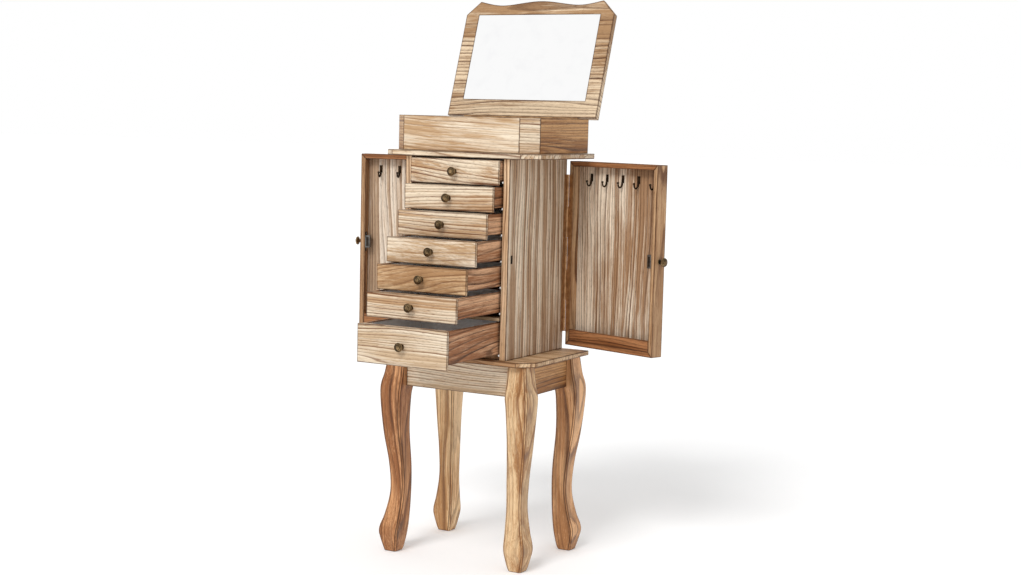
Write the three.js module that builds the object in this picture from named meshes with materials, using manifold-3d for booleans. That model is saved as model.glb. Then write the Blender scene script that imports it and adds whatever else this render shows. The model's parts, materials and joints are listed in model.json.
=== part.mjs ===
// Jewelry armoire: a small cabinet of seven drawers on four cabriole legs, with two swing-out
// side doors that carry necklace hooks, and a mirrored lid over a lined tray.
// Millimetres, +Z up, drawers open towards -Y, and the right door is on the +X side.
// Every moving group is modelled closed about its own joint and then set to its rest opening.
import * as THREE from 'three';
import { mergeVertices } from 'three/addons/utils/BufferGeometryUtils.js';
import Module from 'manifold-3d';

const wasm = await Module();
wasm.setup();

// ---------- driving dimensions ----------
// boards and overall plan
const BOARD_W = 391;          // width of base board, waist board and lid
const BOARD_D = 287;          // depth of base board and waist board
const BOARD_CHAMFER = 33;     // leg of the 45 degree cut on the front corners
const BASE_T = 11;
const WAIST_T = 12;
const GLUE = 0.25;            // glue line left between pieces that touch
const EASE = 0.8;             // eased edge of boards and fronts

// legs and aprons
const LEG_H = 454;
const LEG_BLOCK = 45;         // square block under the base board
const LEG_FRONT_SETBACK = 17.5;
const LEG_SIDE_SETBACK = 18;
const LEG_REAR_SETBACK = 4.5;
const APRON_H = 70;
const APRON_T = 14;
const APRON_SETBACK = 12;     // apron face behind the leg face
const FOOT_HALF = 14.75;      // half of the square the foot stands on

// cabinet
const PANEL_T = 15;           // side panels
const BACK_T = 6;
const CAB_FRONT_OVERHANG = 10;  // waist board past the panels' front edges
const CAB_REAR_OVERHANG = 9;
const DOOR_OVERHANG = 28;     // waist board past the closed door's outer face
const DOOR_GAP = 4.1;         // closed door to side panel, room for the hinge leaves

// drawers, from the top down
const SMALL_COUNT = 6;
const SMALL_FRONT_H = 54.75;
const LOWER_FRONT_H = 83;
const FRONT_T = 12;
const FRONT_GAP = 2;          // between two fronts
const FRONT_TOP_GAP = 3;      // under the waist board
const FRONT_BOTTOM_GAP = 1.5; // above the base board
const FRONT_SIDE_GAP = 4.4;   // front to side panel
const DRAWER_LIFT = 9.5;      // box bottom above its front's bottom edge
const LOWER_DRAWER_LIFT = 12;
const DRAWER_RIM_DROP = 1;    // box rim below its front's top edge
const DRAWER_SIDE_T = 8;
const DRAWER_BOTTOM_T = 4;
const DRAWER_TAIL_GAP = 9;    // box back to back panel when closed
const DRAWER_OPEN = [12.3, 34.8, 59.9, 103.1, 139.8, 177.5, 210.9]; // rest opening of each drawer
const DIVIDER_T = 8;
const DIVIDER_GAP = 1.5;      // divider board to the fronts above and below
const RACK_T = 1.75;          // backing strip of the runners
const RUNNER_W = 10;          // runner's width from the rack's face on the panel
const RUNNER_H = 4.5;
const RUNNER_PLAY = 0.4;      // under the drawer box

// doors
const DOOR_T = 32;
const DOOR_TOP_GAP = 6;
const DOOR_BOTTOM_GAP = 9.5;
const DOOR_WALL = 11.5;       // walls of the tray on the door's inner side
const DOOR_FACE_W = 30;       // width of the frame seen on the outer side
const DOOR_FACE_T = 7;
const DOOR_PANEL_T = 4;
const POCKET_LIP_H = 36.5;    // from the door's bottom edge
const POCKET_LIP_T = 6;
const DOOR_OPEN_RIGHT = 72.3; // degrees from closed, at rest
const DOOR_OPEN_LEFT = 78.5;
const HINGE_END_MARGIN = 31;  // hinge short of the door's top and bottom
const HOOK_COUNT = 5;
const HOOK_PITCH = 48;
const HOOK_FIRST_RIGHT = 51;  // first hook from the door's hinge edge
const HOOK_FIRST_LEFT = 33;
const HOOK_DROP = 27;         // hook tops below the door's top edge
const HOOK_WIRE_R = 1.6;
const HOOK_PATH = [[1.8, -1], [2.6, -17], [8, -27], [14, -24], [16, -16]]; // out of the panel, up from the hook's top
const HOOK_STRIP_H = 9;
const HOOK_STRIP_T = 2;
const HOOK_STRIP_MARGIN = 4;  // strip past the first and last hooks

// piano hinges
const BARREL_R = 2.5;
const PIN_R = 1;
const PIN_CLEARANCE = 0.3;
const LEAF_T = 1;
const LEAF_W = 12;
const KNUCKLES = 5;
const KNUCKLE_GAP = 0.5;

// tray and lid
const TRAY_SIDE_SETBACK = 15.5;
const TRAY_FRONT_SETBACK = 21;
const TRAY_REAR_SETBACK = 3;
const TRAY_H = 77;
const TRAY_WALL = 10;
const LID_T = 15.5;
const LID_GAP = 0.5;
const LID_OPEN = 108.5;        // degrees from closed, at rest on its stop
const LID_SCALLOP = 10;       // depth of the two hollows in the front edge
const LID_SCALLOP_AT = 100;   // hollows' distance from the middle
const LID_CURVE_STEPS = 8;    // straight pieces in each stretch of the wavy edge
const MIRROR_W = 321;
const MIRROR_H = 210;
const MIRROR_T = 3;
const MIRROR_FROM_HINGE = 40;
const INSERT_H = 34;
const INSERT_WALL = 5;
const INSERT_FLOOR = 3;
const INSERT_PLAY = 0.5;
const POCKET_COUNT = 3;       // compartments behind the ring rolls
const ROLL_COUNT = 5;         // ring rolls
const ROLL_R = 8;
const ROLL_H = 22;

// knobs
const KNOB_R = 10;
const KNOB_LENGTH = 17.8;

// ---------- sizes that follow ----------
const rad = THREE.MathUtils.degToRad;
const halfW = BOARD_W / 2;
const frontY = -BOARD_D / 2;
const rearY = BOARD_D / 2;
const panelFront = frontY + CAB_FRONT_OVERHANG;
const panelRear = rearY - CAB_REAR_OVERHANG;
const panelOuter = halfW - DOOR_OVERHANG - DOOR_T - DOOR_GAP;
const bayHalf = panelOuter - PANEL_T;
const frontHalf = bayHalf - FRONT_SIDE_GAP;
const baseTop = LEG_H + BASE_T;
const bayH = FRONT_TOP_GAP + SMALL_COUNT * SMALL_FRONT_H + (SMALL_COUNT - 1) * FRONT_GAP
  + DIVIDER_T + 2 * DIVIDER_GAP + LOWER_FRONT_H + FRONT_BOTTOM_GAP;
const bayTop = baseTop + bayH;
const waistTop = bayTop + WAIST_T;
const trayTop = waistTop + TRAY_H;
const backFace = panelRear - BACK_T;
const rackFace = bayHalf - GLUE - RACK_T;

// ---------- finishes ----------
const finish = (color, roughness, metalness = 0) =>
  new THREE.MeshStandardMaterial({ color, roughness, metalness });
const LIGHT_WOOD = finish(0xcdb58f, 0.55);
const PANEL_WOOD = finish(0xb7a383, 0.6);
const DARK_WOOD = finish(0xa27d58, 0.55);
const LEG_WOOD = finish(0xb08a62, 0.5);
const PLY = finish(0x8d6c4c, 0.75);
const BRASS = finish(0x5d4c33, 0.42, 0.9);
const STEEL = finish(0x7d6a4b, 0.4, 0.9);
const MIRROR = finish(0xe8ecef, 0.03, 1);
const FELT = finish(0x3a3a3e, 0.95);

// ---------- helpers ----------
/** A box between two corners given in any order. */
function block(x0, x1, y0, y1, z0, z1) {
  const g = new THREE.BoxGeometry(Math.abs(x1 - x0), Math.abs(y1 - y0), Math.abs(z1 - z0));
  return g.translate((x0 + x1) / 2, (y0 + y1) / 2, (z0 + z1) / 2);
}

/** An outline in XY raised from z0 to z1, with its top and bottom edges eased. */
function slab(shape, z0, z1, ease = 0, curveSegments = 4) {
  const g = new THREE.ExtrudeGeometry(shape, {
    depth: z1 - z0 - 2 * ease, steps: 1, curveSegments,
    bevelEnabled: ease > 0, bevelThickness: ease, bevelSize: ease, bevelOffset: -ease, bevelSegments: 1,
  });
  return g.translate(0, 0, z0 + ease);
}

/** A board with eased edges between two corners, its faces square to the axes. */
function board(x0, x1, y0, y1, z0, z1, ease = EASE) {
  return slab(outline([[x0, y0], [x1, y0], [x1, y1], [x0, y1]]), z0, z1, ease);
}

/** A closed shape through plain corner points. */
function outline(points) {
  return new THREE.Shape(points.map(([x, y]) => new THREE.Vector2(x, y)));
}

/** A three.js geometry as a manifold solid, and back. */
function solid(geometry) {
  const g = geometry.clone();
  for (const name of Object.keys(g.attributes)) {
    if (name !== 'position') g.deleteAttribute(name);
  }
  const merged = mergeVertices(g, 1e-4);
  return new wasm.Manifold(new wasm.Mesh({
    numProp: 3,
    vertProperties: new Float32Array(merged.attributes.position.array),
    triVerts: new Uint32Array(merged.index.array),
  }));
}

function geometry(manifold) {
  const mesh = manifold.getMesh();
  const g = new THREE.BufferGeometry();
  g.setAttribute('position', new THREE.BufferAttribute(new Float32Array(mesh.vertProperties), 3));
  g.setIndex(new THREE.BufferAttribute(new Uint32Array(mesh.triVerts), 1));
  g.computeVertexNormals();
  return g;
}

function join(first, ...rest) {
  return geometry(rest.reduce((sum, g) => sum.add(solid(g)), solid(first)));
}

function cut(first, ...rest) {
  return geometry(rest.reduce((left, g) => left.subtract(solid(g)), solid(first)));
}

function piece(parent, name, shape, material) {
  const mesh = new THREE.Mesh(shape, material);
  mesh.name = name;
  parent.add(mesh);
  return mesh;
}

/** The board outline with its two front corners cut off. */
function boardOutline(half, front, rear, chamfer) {
  return [[-half, rear], [-half, front + chamfer], [-half + chamfer, front],
    [half - chamfer, front], [half, front + chamfer], [half, rear]];
}

/** A convex anticlockwise outline moved inwards by t. */
function inset(points, t) {
  const n = points.length;
  const edges = points.map(([x, y], i) => {
    const [u, v] = points[(i + 1) % n];
    const len = Math.hypot(u - x, v - y);
    const nx = -(v - y) / len;
    const ny = (u - x) / len;
    return { nx, ny, c: nx * (x + nx * t) + ny * (y + ny * t) };
  });
  return points.map((_, i) => {
    const a = edges[(i + n - 1) % n];
    const b = edges[i];
    const det = a.nx * b.ny - a.ny * b.nx;
    return [(a.c * b.ny - a.ny * b.c) / det, (a.nx * b.c - a.c * b.nx) / det];
  });
}

const armoire = new THREE.Group();

// ---------- legs and aprons ----------
const legOuterX = halfW - LEG_SIDE_SETBACK;
const legFrontY = frontY + LEG_FRONT_SETBACK;
const legRearY = rearY - LEG_REAR_SETBACK;
const blockTop = FOOT_HALF;             // the block's outer face stands over the foot's
const blockInner = blockTop - LEG_BLOCK;

/** Side view of a leg: x is the way out from the foot's middle, y is height. */
function legProfile() {
  const kneeH = LEG_H - APRON_H;
  const shape = new THREE.Shape();
  shape.moveTo(blockInner, LEG_H);
  shape.lineTo(blockInner, kneeH);
  shape.splineThru([[-24, LEG_H * 0.78], [-22.7, LEG_H * 0.62], [-28, LEG_H * 0.42], [-27.5, 118],
    [-24, 54], [-18, 12], [-FOOT_HALF, 0]].map(([x, y]) => new THREE.Vector2(x, y)));
  shape.lineTo(FOOT_HALF, 0);
  shape.splineThru([[20, 14], [24, 48], [15, 84], [6, 140], [9, LEG_H * 0.45], [18.7, LEG_H * 0.62],
    [25, kneeH - 12], [19, kneeH + 30], [blockTop, LEG_H]].map(([x, y]) => new THREE.Vector2(x, y)));
  return shape;
}

/** The two side views of the leg, sawn from one square blank. */
function legGeometry() {
  const blank = 4 * LEG_BLOCK;
  const across = new THREE.ExtrudeGeometry(legProfile(), { depth: blank, steps: 1, curveSegments: 2, bevelEnabled: false });
  across.translate(0, 0, -blank / 2);
  across.rotateX(Math.PI / 2);
  const along = across.clone().rotateZ(-Math.PI / 2).scale(1, -1, 1);
  along.index = null;
  const flipped = along.attributes.position;
  for (let i = 0; i < flipped.count; i += 3) {
    const a = new THREE.Vector3().fromBufferAttribute(flipped, i + 1);
    const b = new THREE.Vector3().fromBufferAttribute(flipped, i + 2);
    flipped.setXYZ(i + 1, b.x, b.y, b.z);
    flipped.setXYZ(i + 2, a.x, a.y, a.z);
  }
  return geometry(solid(across).intersect(solid(along)));
}

const legShape = legGeometry();
const legX = legOuterX - blockTop;
const legPlaces = [
  ['leg_rear_right', legX, legRearY - blockTop, 0],
  ['leg_rear_left', -legX, legRearY - blockTop, 90],
  ['leg_front_left', -legX, legFrontY + blockTop, 180],
  ['leg_front_right', legX, legFrontY + blockTop, 270],
];
for (const [name, x, y, turn] of legPlaces) {
  const leg = piece(armoire, name, legShape.clone().rotateZ(rad(turn)), LEG_WOOD);
  leg.position.set(x, y, 0);
}

const apronBottom = LEG_H - APRON_H;
const apronHalfX = legX + blockInner - GLUE;
const apronFrontEnd = legFrontY + LEG_BLOCK + GLUE;
const apronRearEnd = legRearY - LEG_BLOCK - GLUE;
const apronFrontFace = legFrontY + APRON_SETBACK;
const apronRearFace = legRearY - APRON_SETBACK;
const apronSideFace = legOuterX - APRON_SETBACK;
piece(armoire, 'apron_front',
  block(-apronHalfX, apronHalfX, apronFrontFace, apronFrontFace + APRON_T, apronBottom, LEG_H), DARK_WOOD);
piece(armoire, 'apron_rear',
  block(-apronHalfX, apronHalfX, apronRearFace - APRON_T, apronRearFace, apronBottom, LEG_H), DARK_WOOD);
for (const [name, side] of [['apron_left', -1], ['apron_right', 1]]) {
  piece(armoire, name, block(side * (apronSideFace - APRON_T), side * apronSideFace,
    apronFrontEnd, apronRearEnd, apronBottom, LEG_H), DARK_WOOD);
}

// ---------- boards ----------
const boardShape = outline(boardOutline(halfW, frontY, rearY, BOARD_CHAMFER));
piece(armoire, 'base_board', slab(boardShape, LEG_H + GLUE, baseTop, EASE), LIGHT_WOOD);
piece(armoire, 'waist_board', slab(boardShape, bayTop + GLUE, waistTop, EASE), LIGHT_WOOD);

// ---------- cabinet ----------
for (const [name, side] of [['side_panel_left', -1], ['side_panel_right', 1]]) {
  piece(armoire, name, block(side * bayHalf, side * panelOuter, panelFront, panelRear,
    baseTop + GLUE, bayTop), PANEL_WOOD);
}
piece(armoire, 'back_panel', block(-bayHalf + GLUE, bayHalf - GLUE, backFace, panelRear,
  baseTop + GLUE, bayTop), PLY);

// fronts from the top down: bottom edge, height and how far the box sits above that edge
const drawers = [];
let edge = bayTop - FRONT_TOP_GAP;
for (let i = 0; i < SMALL_COUNT; i += 1) {
  edge -= SMALL_FRONT_H;
  drawers.push({ bottom: edge, height: SMALL_FRONT_H, lift: DRAWER_LIFT });
  edge -= FRONT_GAP;
}
drawers.push({ bottom: baseTop + FRONT_BOTTOM_GAP, height: LOWER_FRONT_H, lift: LOWER_DRAWER_LIFT });

const frontBack = panelFront + FRONT_T;
const runnerFront = frontBack + 0.5;
for (const [name, side] of [['runner_rack_left', -1], ['runner_rack_right', 1]]) {
  const strip = block(side * rackFace, side * (rackFace + RACK_T), runnerFront, backFace - GLUE,
    baseTop + GLUE, bayTop);
  const runners = drawers.slice(0, SMALL_COUNT).map(({ bottom, lift }) => {
    const top = bottom + lift - RUNNER_PLAY;
    return block(side * (rackFace + RACK_T - RUNNER_W), side * (rackFace + RACK_T / 2), runnerFront,
      backFace - GLUE, top - RUNNER_H, top);
  });
  piece(armoire, name, join(strip, ...runners), PLY);
}

const lower = drawers[SMALL_COUNT];
const dividerBottom = lower.bottom + lower.height + DIVIDER_GAP;
const shelfHalf = rackFace - GLUE;
piece(armoire, 'divider_board', block(-shelfHalf, shelfHalf, panelFront, backFace - GLUE,
  dividerBottom, dividerBottom + DIVIDER_T), DARK_WOOD);
piece(armoire, 'bay_floor', block(-shelfHalf, shelfHalf, runnerFront, backFace - GLUE,
  baseTop + GLUE, lower.bottom + lower.lift - RUNNER_PLAY), DARK_WOOD);

// ---------- drawers ----------
/** Mushroom knob standing on the plane y = 0 and pointing towards -Y. */
function knobGeometry() {
  const neck = KNOB_R * 0.32;
  const profile = [[0, 0], [KNOB_R * 0.6, 0], [KNOB_R * 0.6, 1.2], [neck + 0.6, 2.4], [neck, 6.5],
    [KNOB_R * 0.84, 10], [KNOB_R, 12.4], [KNOB_R * 0.93, 14.8], [KNOB_R * 0.6, KNOB_LENGTH - 0.8], [0, KNOB_LENGTH]];
  const g = new THREE.LatheGeometry(profile.map(([r, h]) => new THREE.Vector2(r, h)), 16);
  return g.rotateX(Math.PI);
}
const knobShape = knobGeometry();   // lathe axis is Y, so after the turn the head is towards -Y

drawers.forEach(({ bottom, height, lift }, i) => {
  const n = i + 1;
  const drawer = new THREE.Group();
  drawer.position.y = -DRAWER_OPEN[i];
  armoire.add(drawer);
  piece(drawer, `drawer_${n}_front`,
    board(-frontHalf, frontHalf, panelFront, frontBack, bottom, bottom + height), LIGHT_WOOD);
  const y0 = frontBack + GLUE;
  const y1 = backFace - DRAWER_TAIL_GAP;
  const z0 = bottom + lift;
  const z1 = bottom + height - DRAWER_RIM_DROP;
  const t = DRAWER_SIDE_T;
  piece(drawer, `drawer_${n}_box`, cut(block(-frontHalf, frontHalf, y0, y1, z0, z1),
    block(-frontHalf + t, frontHalf - t, y0 + t, y1 - t, z0 + DRAWER_BOTTOM_T, z1 + t)), DARK_WOOD);
  const knob = piece(drawer, `drawer_${n}_knob`, knobShape.clone(), BRASS);
  knob.position.set(0, panelFront - GLUE, bottom + height / 2);
});

// ---------- piano hinges ----------
/**
 * One half of a piano hinge about the Z axis, from z = 0 up to length. The leaf lies on the `side`
 * of the axis, `offset` away, and runs off in the `dir` direction of Y. Odd knuckles and the pin
 * belong to the fixed half, and even ones turn on the pin.
 */
function hingeHalf(length, fixed, side, dir, offset) {
  const pitch = length / KNUCKLES;
  const leafStart = BARREL_R + 0.5;
  const x0 = side * offset;
  const x1 = side * (offset - LEAF_T);
  const parts = [block(x0, x1, dir * leafStart, dir * (leafStart + LEAF_W), 0, length)];
  for (let k = fixed ? 0 : 1; k < KNUCKLES; k += 2) {
    const z0 = k * pitch + KNUCKLE_GAP / 2;
    const z1 = (k + 1) * pitch - KNUCKLE_GAP / 2;
    const knuckle = new THREE.CylinderGeometry(BARREL_R, BARREL_R, z1 - z0, 12);
    knuckle.rotateX(Math.PI / 2).translate(0, 0, (z0 + z1) / 2);
    parts.push(knuckle, block(x0, x1, dir * LEAF_T, dir * (leafStart + 1), z0, z1));
  }
  const bar = new THREE.CylinderGeometry(1, 1, length, 12).rotateX(Math.PI / 2).translate(0, 0, length / 2);
  if (fixed) {
    return join(...parts, bar.clone().scale(PIN_R, PIN_R, 1));
  }
  const hole = PIN_R + PIN_CLEARANCE;
  return cut(join(...parts), bar.clone().scale(hole, hole, 1));
}

// ---------- doors ----------
const doorBottom = baseTop + DOOR_BOTTOM_GAP;
const doorTop = bayTop - DOOR_TOP_GAP;
const doorH = doorTop - doorBottom;
const doorW = panelRear - panelFront;
const hingeX = panelOuter + DOOR_GAP / 2;
const hingeY = panelRear + BARREL_R + 0.2;
const hingeLength = doorH - 2 * HINGE_END_MARGIN;
const leafOffset = DOOR_GAP / 2 - GLUE;

/** A hook strip: s runs along the door, d is the way out of the tray's floor, z is down from the top. */
function hookStrip(side, floorX, rear) {
  const place = (d, s, z) => new THREE.Vector3(side * (floorX - d), rear - s, z);
  const first = side > 0 ? HOOK_FIRST_RIGHT : HOOK_FIRST_LEFT;
  const last = first + (HOOK_COUNT - 1) * HOOK_PITCH;
  const top = doorTop - HOOK_DROP;
  const strip = block(side * floorX, side * (floorX - HOOK_STRIP_T), rear - first + HOOK_STRIP_MARGIN,
    rear - last - HOOK_STRIP_MARGIN, top - HOOK_STRIP_H, top);
  const section = new THREE.Shape().absarc(0, 0, HOOK_WIRE_R, 0, 2 * Math.PI);
  const hooks = [];
  for (let i = 0; i < HOOK_COUNT; i += 1) {
    const s = first + i * HOOK_PITCH;
    const path = new THREE.CatmullRomCurve3(HOOK_PATH.map(([out, rise]) => place(out, s, top + rise)));
    hooks.push(new THREE.ExtrudeGeometry(section, { steps: 9, curveSegments: 3, extrudePath: path }));
  }
  return join(strip, ...hooks);
}

function door(sideName, side, openDegrees) {
  const group = new THREE.Group();
  group.position.set(side * hingeX, hingeY, 0);
  group.rotation.z = rad(side * openDegrees);
  armoire.add(group);
  const inner = DOOR_GAP / 2;             // door's inner face from the hinge axis
  const outer = inner + DOOR_T;
  const rear = panelRear - hingeY;
  const free = rear - doorW;
  const floor = outer - DOOR_FACE_T - DOOR_PANEL_T; // the tray's floor, seen from inside
  const wall = DOOR_WALL;
  const face = DOOR_FACE_W;
  const x = (value) => side * value;

  const lip = block(x(inner), x(inner + POCKET_LIP_T), free + wall / 2, rear - wall / 2,
    doorBottom + wall / 2, doorBottom + POCKET_LIP_H);
  const frame = join(cut(block(x(inner), x(outer), free, rear, doorBottom, doorTop),
    block(x(inner - 1), x(outer - DOOR_FACE_T), free + wall, rear - wall, doorBottom + wall, doorTop - wall),
    block(x(outer - DOOR_FACE_T - 1), x(outer + 1), free + face, rear - face, doorBottom + face, doorTop - face)),
  lip);
  piece(group, `door_${sideName}_frame`, frame, DARK_WOOD);
  piece(group, `door_${sideName}_panel`, block(x(floor), x(floor + DOOR_PANEL_T - GLUE),
    free + wall + GLUE, rear - wall - GLUE, doorBottom + wall + GLUE, doorTop - wall - GLUE), PANEL_WOOD);
  piece(group, `door_${sideName}_hook_rail`, hookStrip(side, floor - GLUE, rear), BRASS);
  const knob = piece(group, `door_${sideName}_knob`, knobShape.clone(), BRASS);
  knob.position.set(x((inner + outer) / 2), free - GLUE, (doorBottom + doorTop) / 2);

  const leafZ = doorBottom + HINGE_END_MARGIN;
  piece(group, `door_${sideName}_hinge_leaf`,
    hingeHalf(hingeLength, false, side, -1, leafOffset).translate(0, 0, leafZ), STEEL);
  const fixed = piece(armoire, `door_${sideName}_hinge_fixed`,
    hingeHalf(hingeLength, true, -side, -1, leafOffset).translate(0, 0, leafZ), STEEL);
  fixed.position.set(side * hingeX, hingeY, 0);
}
door('left', -1, DOOR_OPEN_LEFT);
door('right', 1, DOOR_OPEN_RIGHT);

// ---------- tray ----------
const trayOutline = boardOutline(halfW - TRAY_SIDE_SETBACK, frontY + TRAY_FRONT_SETBACK,
  rearY - TRAY_REAR_SETBACK, BOARD_CHAMFER);
const trayInner = inset(trayOutline, TRAY_WALL);

/** A stretch of tray wall from corner `from` to corner `to` of the outline, mitred at both ends. */
function trayWall(from, to) {
  const steps = [];
  for (let k = from; k <= to; k += 1) steps.push(k % trayOutline.length);
  const shift = (point, a, b, amount) => {
    const len = Math.hypot(b[0] - a[0], b[1] - a[1]);
    return [point[0] + (amount * (b[0] - a[0])) / len, point[1] + (amount * (b[1] - a[1])) / len];
  };
  const ends = (ring) => {
    const points = steps.map((k) => ring[k]);
    const n = points.length;
    const first = shift(points[0], trayOutline[steps[0]], trayOutline[steps[1]], GLUE);
    const last = shift(points[n - 1], trayOutline[steps[n - 1]], trayOutline[steps[n - 2]], GLUE);
    return [first, ...points.slice(1, n - 1), last];
  };
  return slab(outline([...ends(trayOutline), ...ends(trayInner).reverse()]), waistTop + GLUE, trayTop);
}
piece(armoire, 'tray_left', trayWall(0, 1), LIGHT_WOOD);
piece(armoire, 'tray_front', trayWall(1, 4), LIGHT_WOOD);
piece(armoire, 'tray_right', trayWall(4, 5), LIGHT_WOOD);
piece(armoire, 'tray_rear', trayWall(5, 6), LIGHT_WOOD);

// lined insert: a ring-roll bay in front and three compartments behind it
const insertOutline = inset(trayInner, INSERT_PLAY);
const insertBottom = waistTop + GLUE;
const insertTop = insertBottom + INSERT_H;
const pocketFloor = insertBottom + INSERT_FLOOR;
const insertX = insertOutline[5][0];
const insertFront = insertOutline[2][1];
const insertRear = insertOutline[0][1];
const bayX = insertOutline[3][0];
const rollDepth = 2 * ROLL_R * ROLL_COUNT;
const bayFront = insertFront + INSERT_WALL;
const bayRear = bayFront + rollDepth + 2 * INSERT_PLAY;
const pocketFront = bayRear + INSERT_WALL;
const pocketRear = insertRear - INSERT_WALL;
const pocketW = (2 * insertX - (POCKET_COUNT + 1) * INSERT_WALL) / POCKET_COUNT;
const pockets = [block(-bayX, bayX, bayFront, bayRear, pocketFloor, insertTop + 1)];
for (let i = 0; i < POCKET_COUNT; i += 1) {
  const x0 = -insertX + INSERT_WALL + i * (pocketW + INSERT_WALL);
  pockets.push(block(x0, x0 + pocketW, pocketFront, pocketRear, pocketFloor, insertTop + 1));
}
piece(armoire, 'tray_insert', cut(slab(outline(insertOutline), insertBottom, insertTop), ...pockets), FELT);

/** Ring rolls side by side: half-round ridges on one cushion, run along X. */
function ringRolls() {
  const shape = new THREE.Shape();
  const crest = ROLL_H - ROLL_R;
  shape.moveTo(0, 0);
  shape.lineTo(rollDepth, 0);
  for (let i = ROLL_COUNT - 1; i >= 0; i -= 1) {
    shape.absarc((2 * i + 1) * ROLL_R, crest, ROLL_R - 0.2, 0, Math.PI, false);
  }
  const length = 2 * (bayX - INSERT_PLAY);
  const g = new THREE.ExtrudeGeometry(shape, { depth: length, steps: 1, curveSegments: 6, bevelEnabled: false });
  g.rotateX(Math.PI / 2).rotateZ(Math.PI / 2);
  return g.translate(-length / 2, bayFront + INSERT_PLAY, pocketFloor + GLUE);
}
piece(armoire, 'ring_rolls', ringRolls(), FELT);

// ---------- lid ----------
const lidLeafOffset = BARREL_R;
const lidHingeY = trayOutline[0][1] + BARREL_R + GLUE;
const lidHingeZ = trayTop + LID_GAP / 2;
const lidHingeLength = 2 * (halfW - TRAY_SIDE_SETBACK) - 2 * HINGE_END_MARGIN;

const lid = new THREE.Group();
lid.position.set(0, lidHingeY, lidHingeZ);
lid.rotation.x = -rad(LID_OPEN);
armoire.add(lid);
const lidRear = trayOutline[0][1] - lidHingeY;
const lidFront = frontY - lidHingeY;
const lidBottom = LID_GAP / 2;

function lidOutline() {
  const shape = new THREE.Shape();
  const crest = halfW - BOARD_CHAMFER;
  shape.moveTo(halfW, lidRear);
  shape.lineTo(-halfW, lidRear);
  shape.lineTo(-halfW, lidFront + BOARD_CHAMFER);
  shape.lineTo(-crest, lidFront);
  shape.splineThru([[-LID_SCALLOP_AT, LID_SCALLOP], [0, 0], [LID_SCALLOP_AT, LID_SCALLOP], [crest, 0]]
    .map(([x, rise]) => new THREE.Vector2(x, lidFront + rise)));
  shape.lineTo(halfW, lidFront + BOARD_CHAMFER);
  return shape;
}
const mirrorRear = lidRear - MIRROR_FROM_HINGE;
const mirrorPocket = block(-MIRROR_W / 2 - GLUE, MIRROR_W / 2 + GLUE, mirrorRear - MIRROR_H - GLUE, mirrorRear + GLUE,
  lidBottom - 1, lidBottom + MIRROR_T);
piece(lid, 'lid_board', cut(slab(lidOutline(), lidBottom, lidBottom + LID_T, EASE, LID_CURVE_STEPS), mirrorPocket), LIGHT_WOOD);
piece(lid, 'lid_mirror', block(-MIRROR_W / 2, MIRROR_W / 2, mirrorRear - MIRROR_H, mirrorRear,
  lidBottom, lidBottom + MIRROR_T - GLUE), MIRROR);

/** Turns a Z-axis hinge half so that its axis runs along X and its -X side faces -Y. */
function layAcross(half) {
  return half.translate(0, 0, -lidHingeLength / 2)
    .applyMatrix4(new THREE.Matrix4().set(0, 0, -1, 0, 1, 0, 0, 0, 0, -1, 0, 0, 0, 0, 0, 1));
}
piece(lid, 'lid_hinge_leaf', layAcross(hingeHalf(lidHingeLength, false, -1, -1, lidLeafOffset)), STEEL);
const lidFixed = piece(armoire, 'lid_hinge_fixed',
  layAcross(hingeHalf(lidHingeLength, true, -1, 1, lidLeafOffset)), STEEL);
lidFixed.position.copy(lid.position);

// ---------- origin: bottom centre of the whole part at rest ----------
armoire.updateMatrixWorld(true);
const bounds = new THREE.Box3().setFromObject(armoire, true);
const centre = bounds.getCenter(new THREE.Vector3());
armoire.position.set(-centre.x, -centre.y, -bounds.min.z);
armoire.updateMatrixWorld(true);

export default armoire;
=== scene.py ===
"""Jewelry armoire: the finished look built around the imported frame.

Every sub-assembly is a class that holds its sizes and builds and dresses its own pieces.
Lengths are in metres, +Z is up, the drawers open towards -Y and the right door is on the +X side.
"""

import json
import logging
import math
from dataclasses import dataclass, field
from enum import Enum
from functools import cache
from typing import Iterable, Sequence

import bmesh
import bpy
from bmesh.types import BMEdge, BMFace, BMVert
from mathutils import Matrix, Vector


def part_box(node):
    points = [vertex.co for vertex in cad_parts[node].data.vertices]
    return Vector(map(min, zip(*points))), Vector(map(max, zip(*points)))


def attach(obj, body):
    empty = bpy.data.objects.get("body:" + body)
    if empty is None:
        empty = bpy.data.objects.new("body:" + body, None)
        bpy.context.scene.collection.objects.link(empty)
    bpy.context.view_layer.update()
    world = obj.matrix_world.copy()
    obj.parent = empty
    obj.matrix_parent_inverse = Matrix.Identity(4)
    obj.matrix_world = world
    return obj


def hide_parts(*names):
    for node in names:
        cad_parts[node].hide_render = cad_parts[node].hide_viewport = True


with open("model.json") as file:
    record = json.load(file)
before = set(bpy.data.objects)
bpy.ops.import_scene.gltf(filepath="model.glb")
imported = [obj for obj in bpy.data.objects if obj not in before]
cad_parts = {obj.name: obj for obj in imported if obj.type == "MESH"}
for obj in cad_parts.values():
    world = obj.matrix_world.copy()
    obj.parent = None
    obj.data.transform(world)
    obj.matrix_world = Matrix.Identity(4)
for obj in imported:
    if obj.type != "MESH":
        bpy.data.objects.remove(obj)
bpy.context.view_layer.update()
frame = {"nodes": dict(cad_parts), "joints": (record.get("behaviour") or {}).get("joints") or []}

log = logging.getLogger("armoire")

Colour = tuple[float, float, float]

MM = 0.001
SCORCH = "scorch"          # vertex attribute: 1 on a burnt edge or in a tarnished hollow
DONE = "done"              # face layer while a piece is made: 1 on finished parts
NARROW = 1.7 * MM          # faces narrower than this belong to an edge
WELD = 0.01 * MM
SHARP = math.radians(40)
CREASE = math.radians(8)
FLAT = math.radians(0.5)
UP = Vector((0, 0, 1))
RIGHT = Vector((1, 0, 0))
BACK = Vector((0, 1, 0))


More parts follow.
